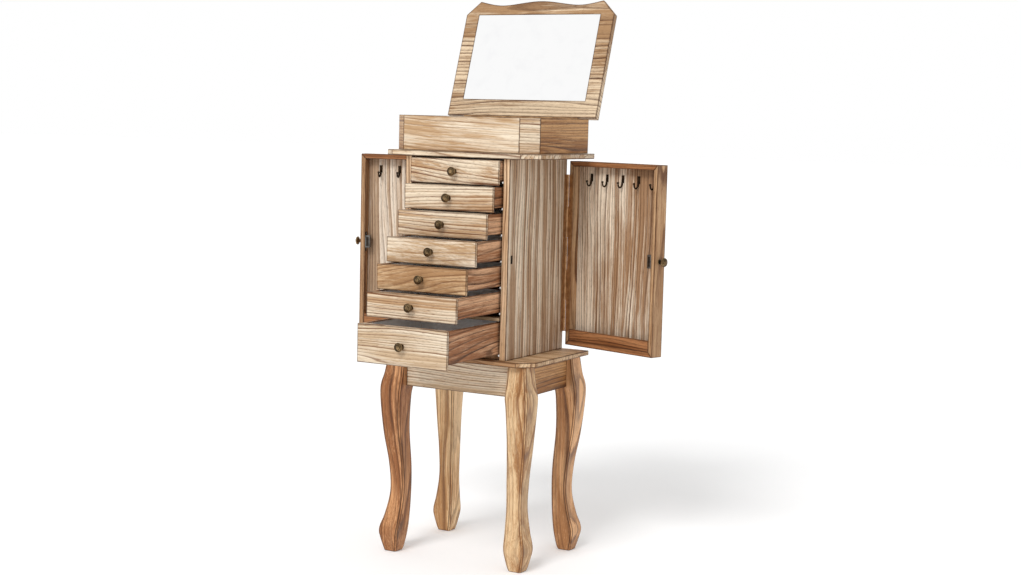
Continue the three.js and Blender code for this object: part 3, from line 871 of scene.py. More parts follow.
def swept(stock: Stock, path: Sequence[Vector], radii: Sequence[float], material: bpy.types.Material,
          sides: int = 12) -> None:
    """Draws a round wire along a path.

    Args:
        stock: The piece that gets the part.
        path: The points that it follows.
        radii: The wire's radius at each point.
        material: The part's material.
        sides: Sides of its section.
    """
    stock.start(material)
    bm = stock.bm
    way = [(b - a).normalized() for a, b in zip(path, path[1:])]
    way = [way[0]] + [(a + b).normalized() for a, b in zip(way, way[1:])] + [way[-1]]
    turn = facing(way[0])
    ring = bmesh.ops.create_circle(bm, cap_ends=True, segments=sides, radius=radii[0],
                                   matrix=Matrix.Translation(path[0]) @ turn)["verts"]
    edges = list(dict.fromkeys(e for v in ring for e in v.link_edges))
    for k in range(1, len(path)):
        made = bmesh.ops.extrude_edge_only(bm, edges=edges)["geom"]
        ring = [v for v in made if isinstance(v, BMVert)]
        edges = [e for e in made if isinstance(e, BMEdge)]
        bend = way[k - 1].rotation_difference(way[k]).to_matrix().to_4x4()
        scale = Matrix.Scale(radii[k] / radii[k - 1], 4)
        bmesh.ops.transform(bm, verts=ring, matrix=Matrix.Translation(path[k]) @ bend @ scale
                            @ Matrix.Translation(-path[k - 1]))
    bmesh.ops.contextual_create(bm, geom=edges)
    bmesh.ops.recalc_face_normals(bm, faces=stock.faces())
    stock.close()


def smooth_path(points: Sequence[Vector], cuts: int) -> list[Vector]:
    """Runs a smooth curve through points.

    Args:
        points: The points.
        cuts: Pieces in each stretch.

    Returns:
        The curve's points.
    """
    ends = [2 * points[0] - points[1], *points, 2 * points[-1] - points[-2]]
    curve = []
    for a, b, c, d in zip(ends, ends[1:], ends[2:], ends[3:]):
        for k in range(cuts):
            t = k / cuts
            curve.append(0.5 * (2 * b + (c - a) * t + (2 * a - 5 * b + 4 * c - d) * t * t
                                + (3 * b - a - 3 * c + d) * t ** 3))
    return [*curve, points[-1]]


def screw_head(stock: Stock, place: Matrix, radius: float, material: bpy.types.Material) -> None:
    """Adds a small domed screw head with a hollow in its middle.

    Args:
        stock: The piece that gets it.
        place: Takes the screw's Z axis to its place.
        radius: The head's radius in millimetres.
        material: Its material.
    """
    profile = [(0, -0.3), (radius, -0.3), (radius, 0.1), (0.75 * radius, 0.5), (0.4 * radius, 0.62),
               (0.34 * radius, 0.3), (0, 0.26)]
    spun(stock, profile, place, material, steps=14)


def facing(way: Vector) -> Matrix:
    """Turns the Z axis to point that way."""
    return UP.rotation_difference(way).to_matrix().to_4x4()


def middle(node: str) -> Vector:
    """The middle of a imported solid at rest."""
    lo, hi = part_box(node)
    return (lo + hi) / 2


def wood_copy(node: str, finish: WoodFinish, sawing: Sawing, body: str, slot: str, name: str = "",
              reach: float = 3.2 * MM, ease: float = 0.7 * MM) -> bpy.types.Object:
    """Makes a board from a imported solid's own shape.

    Args:
        node: The solid it stands for.
        finish: Its wood.
        sawing: How its grain lies.
        body: The body it rides on.
        slot: The record's material slot.
        name: The piece's name, if not the solid's with a suffix.
        reach: How far the burnt edge runs in.
        ease: Width of its rounded edges.

    Returns:
        The finished board.
    """
    label = name or f"{node}_wood"
    stock = Stock(label)
    stock.copied(node, finish.material(label, middle(node), sawing), ease=ease, reach=reach)
    return stock.finish(body, slot, [node])


# ---------------------------------------------------------------- stand


@dataclass
class Stand:
    """Four cabriole legs and the aprons between them."""

    body: str = "cabinet"
    height: float = 454 * MM
    block_h: float = 70 * MM
    block: float = 45 * MM
    foot: float = 14.75 * MM
    chamfer: float = 3.4 * MM
    stations: int = 7

    def profile(self) -> list[tuple[float, float, float]]:
        """The leg's height, inner reach and outer reach from the foot's middle, upwards."""
        knee = self.height - self.block_h
        top = self.height / MM
        inner = [(-15.8, 0), (-19.6, 12), (-25.6, 54), (-29.1, 118), (-29.6, top * 0.42), (-25.2, top * 0.62),
                 (-26.8, top * 0.78), (-30.25, knee / MM)]
        outer = [(15.8, 0), (20.0, 16), (23.6, 32), (25.8, 46), (23.4, 62), (16.4, 86), (7.8, 140),
                 (10.8, top * 0.45), (21.0, top * 0.62), (27.0, knee / MM - 12), (20, knee / MM + 30), (14.75, top)]
        inner_line = smooth_path([Vector((r, h, 0)) for r, h in inner], self.stations)
        outer_line = smooth_path([Vector((r, h, 0)) for r, h in outer], self.stations)
        inner_line.append(Vector((-30.25, top, 0)))
        return [(h * MM, reach_at(inner_line, h) * MM, reach_at(outer_line, h) * MM) for h in frange(0, top, 5.5)]

    def leg(self, node: str, finish: WoodFinish, shift: float) -> None:
        """Builds one leg as a stack of squares with chamfered corners.

        Args:
            node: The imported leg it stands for.
            finish: Its wood.
            shift: Metres along the log, so that no two legs match.
        """
        lo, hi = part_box(node)
        x_sign = 1 if "right" in node else -1
        y_sign = 1 if "rear" in node else -1
        block_inner = self.block - self.foot
        x_mid = lo.x + block_inner if x_sign > 0 else hi.x - block_inner
        y_mid = lo.y + block_inner if y_sign > 0 else hi.y - block_inner
        stock = Stock(f"{node}_turned")
        sawing = Sawing(UP, Vector((0.25, -1, 0)).normalized(), Figure.RIFT, skew=1.0, shift=shift)
        stock.start(finish.material(stock.name, Vector((x_mid, y_mid, self.height / 2)), sawing))
        bm = stock.bm
        rows = self.profile()
        square = bmesh.ops.create_grid(bm, x_segments=1, y_segments=1, size=0.5)["verts"]
        face = square[0].link_faces[0]
        self.set_square(square, x_mid, y_mid, x_sign, y_sign, rows[0])
        for step, row in enumerate(rows[1:]):
            made = bmesh.ops.extrude_face_region(bm, geom=[face])["geom"]
            square = [v for v in made if isinstance(v, BMVert)]
            if step:
                bmesh.ops.delete(bm, geom=[face], context="FACES_ONLY")
            face = next(f for f in made if isinstance(f, BMFace))
            self.set_square(square, x_mid, y_mid, x_sign, y_sign, row)
        bmesh.ops.recalc_face_normals(bm, faces=stock.faces())
        corners = [e for e in stock.edges() if abs((e.verts[0].co - e.verts[1].co).normalized().z) > 0.3]
        bmesh.ops.bevel(bm, geom=corners, offset=self.chamfer, offset_type="OFFSET", affect="EDGES",
                        segments=1, profile=0.5, material=-1, clamp_overlap=True)
        stock.ease(0.7 * MM)
        stock.scorch(2.4 * MM, crease=math.radians(20))
        stock.close()
        stock.finish(self.body, "leg_wood", [node], smooth=32)

    def set_square(self, verts: Sequence[BMVert], x_mid: float, y_mid: float, x_sign: int, y_sign: int,
                   row: tuple[float, float, float]) -> None:
        """Places four corners round the leg at one height.

        Args:
            verts: The corners.
            x_mid: The foot's middle in X.
            y_mid: The foot's middle in Y.
            x_sign: Which way the leg bows in X.
            y_sign: Which way it bows in Y.
            row: The height and the two reaches.
        """
        height, inner, outer = row
        centre = sum((v.co for v in verts), Vector()) / len(verts)
        for vert in verts:
            right, back = vert.co.x > centre.x, vert.co.y > centre.y
            x_out, y_out = right == (x_sign > 0), back == (y_sign > 0)
            vert.co = Vector((x_mid + x_sign * (outer if x_out else inner),
                              y_mid + y_sign * (outer if y_out else inner), height))

    def build(self) -> None:
        """Builds the legs and aprons."""
        self.leg("leg_front_left", LEG_BROWN, 0.0)
        self.leg("leg_front_right", LEG_PALE, 0.9)
        # The rear legs take paler woods, painted light against the shade that falls on them.
        self.leg("leg_rear_left", LEG_FAIR_PAINTED_LIGHT, 1.7)
        self.leg("leg_rear_right", LEG_TAN_PAINTED_LIGHT, 2.6)
        front = Sawing(RIGHT, -BACK, Figure.STRAIGHT, shift=0.4)
        side = Sawing(BACK, RIGHT, Figure.STRAIGHT, shift=1.4)
        # apron_front takes the paler blond wood as painted light, to make up for the shade under the base board.
        # apron_right takes the gold wood, with painted shade on the side away from the key light.
        for node, finish, sawing in (("apron_front", BLOND, front), ("apron_rear", WARM, front),
                                     ("apron_left", WARM, side), ("apron_right", GOLD_PAINTED_SHADE, side)):
            wood_copy(node, finish, sawing, self.body, "dark_wood")


def frange(start: float, stop: float, step: float) -> list[float]:
    """Evenly spaced values from start to stop, both included.

    Args:
        start: The first value.
        stop: The last value.
        step: The largest gap allowed.

    Returns:
        The values.
    """
    count = math.ceil((stop - start) / step)
    return [start + (stop - start) * k / count for k in range(count + 1)]


def reach_at(line: Sequence[Vector], height: float) -> float:
    """Reads a profile line at a height.

    Args:
        line: Points with the reach in X and the height in Y, rising.
        height: Where to read it.

    Returns:
        The reach.
    """
    for a, b in zip(line, line[1:]):
        if b.y >= height > a.y or height <= line[0].y:
            share = 0.0 if height <= line[0].y else (height - a.y) / (b.y - a.y)
            return a.x + (b.x - a.x) * share
    return line[-1].x


# ---------------------------------------------------------------- cabinet


@dataclass
class Cabinet:
    """The case that the drawers slide in, with the boards above and below it."""

    body: str = "cabinet"
    edging: float = 2.2 * MM
    glide_r: float = 2.6 * MM
    glide_t: float = 4.0 * MM
    glide_drop: float = 2.7 * MM
    strike_h: float = 18 * MM
    strike_w: float = 7 * MM

    def build(self) -> None:
        """Builds every fixed part of the case."""
        top = Sawing(RIGHT, UP, Figure.RIFT, shift=0.3)
        wood_copy("base_board", WARM, top, self.body, "light_wood")
        wood_copy("waist_board", PALE, Sawing(RIGHT, UP, Figure.RIFT, shift=2.1), self.body, "light_wood")
        for side in ("left", "right"):
            self.side_panel(side)
        wood_copy("back_panel", PLY, Sawing(UP, BACK, Figure.BROAD, shift=0.8), self.body, "inner_wood",
                  reach=2 * MM)
        wood_copy("divider_board", WARM, Sawing(RIGHT, UP, Figure.STRAIGHT), self.body, "dark_wood",
                  reach=1.5 * MM)
        wood_copy("bay_floor", PLY, Sawing(BACK, UP, Figure.STRAIGHT), self.body, "dark_wood", reach=1.5 * MM)
        for side in ("left", "right"):
            wood_copy(f"runner_rack_{side}", PLY, Sawing(BACK, RIGHT, Figure.STRAIGHT), self.body, "inner_wood",
                      reach=0.0, ease=0.3 * MM)
        self.glides()
        self.strikes()

    def side_panel(self, side: str) -> None:
        """Builds a side panel with its lipping along the front edge.

        Args:
            side: left or right.
        """
        node = f"side_panel_{side}"
        lo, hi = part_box(node)
        name = f"{node}_wood"
        face = RIGHT if side == "right" else -RIGHT
        stock = Stock(name)
        seam = lo.y + self.edging
        board = PANEL.material(name, (lo + hi) / 2, Sawing(UP, face, Figure.STRAIGHT, skew=1.0, shift=0.5))
        stock.block(Vector((lo.x, seam, lo.z)), hi, board)
        lipping = EDGING.material(f"{name}_lipping", (lo + hi) / 2, Sawing(UP, -BACK, Figure.STRAIGHT, shift=1.1))
        stock.block(lo, Vector((hi.x, seam - 0.15 * MM, hi.z)), lipping, ease=0.5 * MM, reach=1.2 * MM)
        stock.finish(self.body, "panel_wood", [node])

    def glides(self) -> None:
        """Builds the nylon buttons that the drawers brush past, on both sides of the bay."""
        stock = Stock("drawer_glides")
        nylon = NYLON.material()
        for side, sign in (("left", 1), ("right", -1)):
            lo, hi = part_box(f"side_panel_{side}")
            wall = hi.x if side == "left" else lo.x
            for n in range(1, 8):
                box_lo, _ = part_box(f"drawer_{n}_box")
                spot = Vector((wall, lo.y + self.glide_r + 0.3 * MM, box_lo.z - self.glide_drop))
                place = Matrix.Translation(spot) @ facing(sign * RIGHT)
                r, t = self.glide_r / MM, self.glide_t / MM
                spun(stock, [(0, 0.05), (r, 0.05), (r, 0.5 * t), (0.8 * r, 0.85 * t), (0.4 * r, t), (0, t)],
                     place, nylon, steps=20)
        stock.finish(self.body, "inner_wood")

    def strikes(self) -> None:
        """Builds the plates that the door magnets meet."""
        for side, sign in (("left", -1), ("right", 1)):
            lo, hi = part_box(f"side_panel_{side}")
            wall = lo.x if side == "left" else hi.x
            stock = Stock(f"strike_plate_{side}")
            steel = BLACKENED.material()
            centre = Vector((wall + sign * 0.65 * MM, lo.y + 17 * MM, middle("door_right_knob").z))
            half = Vector((0.6 * MM, self.strike_w / 2, self.strike_h / 2))
            stock.block(centre - half, centre + half, steel, ease=0.5 * MM, reach=0.0)
            turn = facing(sign * RIGHT)
            for drop in (-self.strike_h / 3, self.strike_h / 3):
                spot = centre + Vector((sign * 0.6 * MM, 0, drop))
                screw_head(stock, Matrix.Translation(spot) @ turn, 2.2, steel)
            stock.finish(self.body, "hinge_metal")


KNOB_PROFILE = [(0, 0), (6.2, 0), (6.6, 0.5), (6.2, 1.1), (5.0, 1.4), (4.6, 2.0), (3.5, 2.8), (3.1, 4.2),
                (3.3, 6.2), (4.4, 8.0), (6.4, 9.4), (8.6, 10.4), (9.7, 11.4), (10, 12.5), (9.8, 13.6),
                (9.3, 14.5), (8.8, 14.7), (8.4, 14.0), (7.8, 14.0), (7.4, 14.9), (6.6, 15.7), (5.8, 16.2),
                (5.4, 15.2), (4.9, 15.2), (4.6, 16.4), (3.2, 17.3), (1.6, 17.7), (0, 17.8)]
KNOB_HOLLOWS = (1.4, 2.0, 2.8, 4.2, 6.2, 14.0, 15.2)
PETALS = 12
PETAL_RISE = 0.35 * MM


def knob(name: str, base: Vector, body: str, replaces: str, swing: Swing = STILL) -> None:
    """Builds a cast knob that points towards -Y when its part is closed.

    Args:
        name: The piece's name.
        base: The middle of its foot, with the hinge closed.
        body: The body it rides on.
        replaces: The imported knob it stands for.
        swing: The hinge it hangs on.
    """
    stock = Stock(name)
    place = Matrix.Translation(base) @ facing(-BACK)
    verts = spun(stock, KNOB_PROFILE, place, BRASS.material(), steps=48)
    out = place.inverted()
    layer = stock.bm.verts.layers.float[SCORCH]
    for vert in verts:
        local = out @ vert.co
        radius = math.hypot(local.x, local.y) / MM
        height = local.z / MM
        vert[layer] = 1.0 if any(abs(height - h) < 0.2 for h in KNOB_HOLLOWS) else 0.0
        if 5.5 < radius < 8.0 and local.z > 15 * MM:
            petal = math.cos(PETALS * math.atan2(local.y, local.x))
            vert.co += (place.to_3x3() @ UP) * petal * PETAL_RISE
    stock.finish(body, "aged_brass", [replaces], swing, smooth=40)


@dataclass
class Drawer:
    """One drawer: front, lapped case, felt lining and knob."""

    number: int
    finish: WoodFinish
    sawing: Sawing
    wall: float = 8 * MM
    lap: float = 7 * MM
    floor: float = 4 * MM
    lining: float = 0.9 * MM
    play: float = 0.25 * MM

    def build(self) -> None:
        """Builds the drawer's four pieces."""
        n = self.number
        body = f"drawer_{n}"
        self.front(body)
        self.case(body)
        self.felt(body)
        lo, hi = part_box(f"{body}_knob")
        knob(f"{body}_cast_knob", Vector(((lo.x + hi.x) / 2, hi.y, (lo.z + hi.z) / 2)), body, f"{body}_knob")

    def front(self, body: str) -> None:
        """Builds the front, rebated at both ends for the sides to lap into.

        Args:
            body: The drawer's body.
        """
        node = f"{body}_front"
        lo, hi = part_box(node)
        name = f"{node}_wood"
        stock = Stock(name)
        wood = self.finish.material(name, (lo + hi) / 2, self.sawing)
        shelf = hi.y - self.lap
        stock.block(lo, Vector((hi.x, shelf, hi.z)), wood)
        rebate = Vector((self.wall, 0, 0))
        stock.block(Vector((lo.x, shelf + 0.05 * MM, lo.z)) + rebate, hi - rebate, wood, reach=1.5 * MM)
        stock.finish(body, "light_wood", [node])

    def case(self, body: str) -> None:
        """Builds the case from two sides, two ends and a floor.

        Args:
            body: The drawer's body.
        """
        node = f"{body}_box"
        lo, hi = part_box(node)
        name = f"{body}_case"
        stock = Stock(name)
        shift = 0.61 * self.number
        centre = (lo + hi) / 2
        side = SIDES.material(f"{name}_sides", centre, Sawing(BACK, RIGHT, Figure.RIFT, skew=1.5, shift=shift))
        end = SIDES.material(f"{name}_ends", centre, Sawing(RIGHT, BACK, Figure.STRAIGHT, shift=shift))
        ply = PLY.material(f"{name}_floor", centre, Sawing(RIGHT, UP, Figure.BROAD, shift=shift))
        t, gap = self.wall, 0.05 * MM
        ahead = Vector((0, -self.lap, 0))
        stock.block(lo + ahead, Vector((lo.x + t, hi.y, hi.z)), side, reach=2.2 * MM)
        stock.block(Vector((hi.x - t, lo.y, lo.z)) + ahead, hi, side, reach=2.2 * MM)
        stock.block(Vector((lo.x + t + gap, lo.y, lo.z)), Vector((hi.x - t - gap, lo.y + t, hi.z)), end,
                    reach=2.2 * MM)
        stock.block(Vector((lo.x + t + gap, hi.y - t, lo.z)), Vector((hi.x - t - gap, hi.y, hi.z)), end,
                    reach=2.2 * MM)
        stock.block(Vector((lo.x + t + gap, lo.y + t + gap, lo.z + 0.6 * MM)),
                    Vector((hi.x - t - gap, hi.y - t - gap, lo.z + self.floor)), ply, ease=0.3 * MM, reach=0.0)
        stock.finish(body, "dark_wood", [node])

    def felt(self, body: str) -> None:
        """Builds the open felt tray that lines the case.

        Args:
            body: The drawer's body.
        """
        lo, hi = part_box(f"{body}_box")
        inset = self.wall + self.play
        low = lo + Vector((inset, inset, self.floor + self.play))
        high = Vector((hi.x - inset, hi.y - inset, hi.z - 2.0 * MM))
        stock = Stock(f"{body}_lining")
        stock.start(LINING.material())
        lined_tray(stock, low, high, self.lining)
        stock.close()
        stock.finish(body, "felt")


def lined_tray(stock: Stock, lo: Vector, hi: Vector, thickness: float) -> None:
    """Adds an open tray of cloth to the part in hand.

    Args:
        stock: The piece that gets it.
        lo: Lowest outer corner.
        hi: Highest outer corner.
        thickness: The cloth's thickness.
    """
    bm = stock.bm
    place = Matrix.Translation((lo + hi) / 2) @ Matrix.Diagonal((*(hi - lo), 1.0))
    bmesh.ops.create_cube(bm, size=1.0, matrix=place)
    bmesh.ops.recalc_face_normals(bm, faces=stock.faces())
    lid = max(stock.faces(), key=lambda f: f.calc_center_median().z)
    bmesh.ops.delete(bm, geom=[lid], context="FACES_ONLY")
    bmesh.ops.solidify(bm, geom=stock.faces(), thickness=thickness)
    bmesh.ops.recalc_face_normals(bm, faces=stock.faces())


# ---------------------------------------------------------------- doors


@dataclass
class SideDoor:
    """A tray-shaped door: mitred frame, panel, pocket, hooks, catch, knob and piano hinge."""

    side: str
    wall: float = 11.5 * MM
    face_w: float = 30 * MM
    face_t: float = 7 * MM
    lip_h: float = 36.5 * MM
    lip_t: float = 6 * MM
    gap: float = 0.25 * MM
    hook_first: dict[str, float] = field(default_factory=lambda: {"right": 51 * MM, "left": 33 * MM})
    hook_pitch: float = 48 * MM
    hook_count: int = 5
    hook_drop: float = 27 * MM
    plate: Vector = field(default_factory=lambda: Vector((1.4, 7.5, 17.0)) * MM)

    def __post_init__(self) -> None:
        """Finds the hinge and the closed door's corners."""
        self.sign = 1 if self.side == "right" else -1
        self.body = f"door_{self.side}"
        self.swing = joint_swing(f"door_{self.side}_hinge", "Z", self.sign)
        corners = [self.swing.closed() @ v.co for v in frame["nodes"][f"{self.body}_frame"].data.vertices]
        self.lo = Vector(min(c[k] for c in corners) for k in range(3))
        self.hi = Vector(max(c[k] for c in corners) for k in range(3))

    def across(self, depth: float) -> float:
        """X of a plane that far out from the door's inner side."""
        inner = self.lo.x if self.sign > 0 else self.hi.x
        return inner + self.sign * depth

    def sawn(self, along: Vector, face: Vector, figure: Figure = Figure.STRAIGHT, skew: float = 0.0,
             shift: float = 0.0) -> Sawing:
        """The grain of a board on the closed door, turned to rest."""
        return Sawing(along, face, figure, skew, shift).turned(self.swing.turn)

    def centre(self, point: Vector) -> Vector:
        """A point of the closed door, turned to rest."""
        return self.swing.opened() @ point

    def box(self, lo: tuple[float, float, float], hi: tuple[float, float, float]) -> tuple[Vector, Vector]:
        """Sorts two corners given as depth, y and z.

        Args:
            lo: One corner.
            hi: The other.

        Returns:
            The lowest and highest corners.
        """
        ends = sorted((self.across(lo[0]), self.across(hi[0])))
        return Vector((ends[0], lo[1], lo[2])), Vector((ends[1], hi[1], hi[2]))

    def build(self) -> None:
        """Builds the door's pieces."""
        self.frame()
        self.panel()
        self.hooks()
        self.catch()
        lo, hi = self.lo, self.hi
        knob(f"{self.body}_cast_knob", Vector(((lo.x + hi.x) / 2, lo.y - self.gap, (lo.z + hi.z) / 2)), self.body,
             f"{self.body}_knob", self.swing)
        self.hinge()

    def frame(self) -> None:
        """Builds the four mitred members and the pocket's lip."""
        name = f"{self.body}_joinery"
        stock = Stock(name)
        lo, hi = self.lo, self.hi
        mid = (lo + hi) / 2
        width, height = hi.y - lo.y, hi.z - lo.z
        inward = -RIGHT * self.sign
        members = (
            ("top", Vector((0, hi.y, hi.z)), -BACK, -UP, width, BROWN),
            ("bottom", Vector((0, lo.y, lo.z)), BACK, UP, width, BROWN),
            ("free_stile", Vector((0, lo.y, hi.z)), -UP, BACK, height, TRIM),
            ("hinge_stile", Vector((0, hi.y, lo.z)), UP, -BACK, height, TRIM),
        )
        for k, (label, corner, run, inside, length, finish) in enumerate(members):
            spot = corner + run * length / 2 + inside * self.wall / 2
            spot.x = mid.x
            sawing = self.sawn(run, inward, Figure.STRAIGHT, shift=0.7 * k + 0.2 * self.sign)
            self.member(stock, corner, run, inside, length,
                        finish.material(f"{name}_{label}", self.centre(spot), sawing))
        lip_lo, lip_hi = self.box((0, lo.y + self.wall + self.gap, lo.z + self.wall + 0.1 * MM),
                                  (self.lip_t, hi.y - self.wall - self.gap, lo.z + self.lip_h))
        lip = BROWN.material(f"{name}_lip", self.centre((lip_lo + lip_hi) / 2), self.sawn(BACK, inward, shift=3.1))
        stock.block(lip_lo, lip_hi, lip, reach=2.2 * MM)
        stock.finish(self.body, "dark_wood", [f"{self.body}_frame"], self.swing)

    def member(self, stock: Stock, corner: Vector, run: Vector, inside: Vector, length: float,
               material: bpy.types.Material) -> None:
        """Adds one mitred member with an L-shaped section: a wall and a wider face.

        Args:
            stock: The piece that gets it.
            corner: The outer corner that it starts from.
            run: The way it runs.
            inside: The way to the door's middle.
            length: Its length on the outer edge.
            material: Its material.
        """
        stock.start(material)
        bm = stock.bm
        depth = self.hi.x - self.lo.x
        seat = depth - self.face_t
        section = ((0, 0), (depth, 0), (depth, self.face_w), (seat, self.face_w), (seat, self.wall),
                   (0, self.wall))
        base = Vector((0, corner.y, corner.z))
        ring = [bm.verts.new(base + RIGHT * self.across(d) + inside * w + run * w) for d, w in section]
        face = bm.faces.new(ring)
        made = bmesh.ops.extrude_face_region(bm, geom=[face])["geom"]
        for vert in (v for v in made if isinstance(v, BMVert)):
            inset = (vert.co - base).dot(inside)
            vert.co += run * (length - 2 * inset)
        bmesh.ops.recalc_face_normals(bm, faces=stock.faces())
        stock.ease(0.6 * MM)
        stock.scorch(2.4 * MM)
        stock.close()

    def panel(self) -> None:
        """Builds the thin striped panel."""
        lo, hi = self.lo, self.hi
        inset = self.wall + self.gap
        seat = hi.x - lo.x - self.face_t
        low, high = self.box((seat - 4 * MM, lo.y + inset, lo.z + inset),
                             (seat - self.gap, hi.y - inset, hi.z - inset))
        name = f"{self.body}_board"
        stock = Stock(name)
        sawing = self.sawn(UP, -RIGHT * self.sign, Figure.STRAIGHT, skew=0.6, shift=0.9 * self.sign)
        board = DOOR_PANELS[self.side].material(name, self.centre((low + high) / 2), sawing)
        stock.block(low, high, board, ease=0.3 * MM, reach=0.0)
        stock.finish(self.body, "panel_wood", [f"{self.body}_panel"], self.swing)

    def hooks(self) -> None:
        """Builds the row of hooks, each on its own plate."""
        stock = Stock(f"{self.body}_hooks")
        bronze = BRONZE.material()
        floor = self.hi.x - self.lo.x - self.face_t - 4 * MM
        top = self.hi.z - self.hook_drop
        path = [(1.6, -4.5), (2.4, -10), (2.8, -17), (4.6, -23.5), (8.4, -27), (12.6, -26.2), (15.2, -22.5),
                (16.2, -18.0)]
        radii = [1.9, 2.1, 2.1, 2.0, 1.95, 1.9, 1.8, 1.7]
        for k in range(self.hook_count):
            y = self.hi.y - self.hook_first[self.side] - k * self.hook_pitch
            low, high = self.box((floor - self.gap - self.plate.x, y - self.plate.y / 2, top - self.plate.z),
                                 (floor - self.gap, y + self.plate.y / 2, top))
            stock.block(low, high, bronze, ease=0.6 * MM, reach=0.0)
            place = [Vector((self.across(floor - self.gap - d * MM), y, top + z * MM)) for d, z in path]
            line = smooth_path(place, 3)
            sizes = [radii[min(i // 3, len(radii) - 1)] * MM for i in range(len(line))]
            swept(stock, line, sizes, bronze)
            stock.start(bronze)
            bmesh.ops.create_uvsphere(stock.bm, u_segments=16, v_segments=10, radius=2.8 * MM,
                                      matrix=Matrix.Translation(line[-1] + UP * 1.0 * MM))
            stock.close()
            turn = facing(-RIGHT * self.sign)
            face = self.across(floor - self.gap - self.plate.x)
            for drop in (2.6, 14.2):
                spot = Vector((face, y, top - drop * MM))
                screw_head(stock, Matrix.Translation(spot) @ turn, 1.5, bronze)
        stock.finish(self.body, "aged_brass", [f"{self.body}_hook_rail"], self.swing, smooth=45)

    def catch(self) -> None:
        """Builds the magnetic catch inside the free stile."""
        stock = Stock(f"{self.body}_magnet_catch")
        steel, dark = STEEL.material(), BLACKENED.material()
        y0 = self.lo.y + self.wall + self.gap
        mid_z = (self.lo.z + self.hi.z) / 2
        low, high = self.box((1.0 * MM, y0, mid_z - 15 * MM), (12 * MM, y0 + 12 * MM, mid_z + 15 * MM))
        stock.block(low, high, steel, ease=0.8 * MM, reach=0.0)
        low, high = self.box((0.3 * MM, y0 + 3 * MM, mid_z - 11 * MM), (4 * MM, y0 + 9.5 * MM, mid_z + 11 * MM))
        stock.block(low, high, dark, ease=0.5 * MM, reach=0.0)
        low, high = self.box((2.5 * MM, y0, mid_z - 23 * MM), (10.5 * MM, y0 + 1.6 * MM, mid_z + 23 * MM))
        stock.block(low, high, dark, ease=0.5 * MM, reach=0.0)
        turn = facing(BACK)
        for z in (-19.0, 19.0):
            spot = Vector((self.across(6.5 * MM), y0 + 1.6 * MM, mid_z + z * MM))
            screw_head(stock, Matrix.Translation(spot) @ turn, 2.4, steel)
        stock.finish(self.body, "hinge_metal", (), self.swing)

    def hinge(self) -> None:
        """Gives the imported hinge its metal."""
        brass = HINGE.material()
        for part in ("hinge_leaf", "hinge_fixed"):
            dress(f"{self.body}_{part}", brass)


def dress(node: str, material: bpy.types.Material) -> None:
    """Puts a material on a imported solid.

    Args:
        node: The solid's name.
        material: Its new material.
    """
    mesh = frame["nodes"][node].data
    for k in range(max(1, len(mesh.materials))):
        if k < len(mesh.materials):
            mesh.materials[k] = material
        else:
            mesh.materials.append(material)
    log.info("%s: dressed in %s", node, material.name)


# ---------------------------------------------------------------- tray and lid


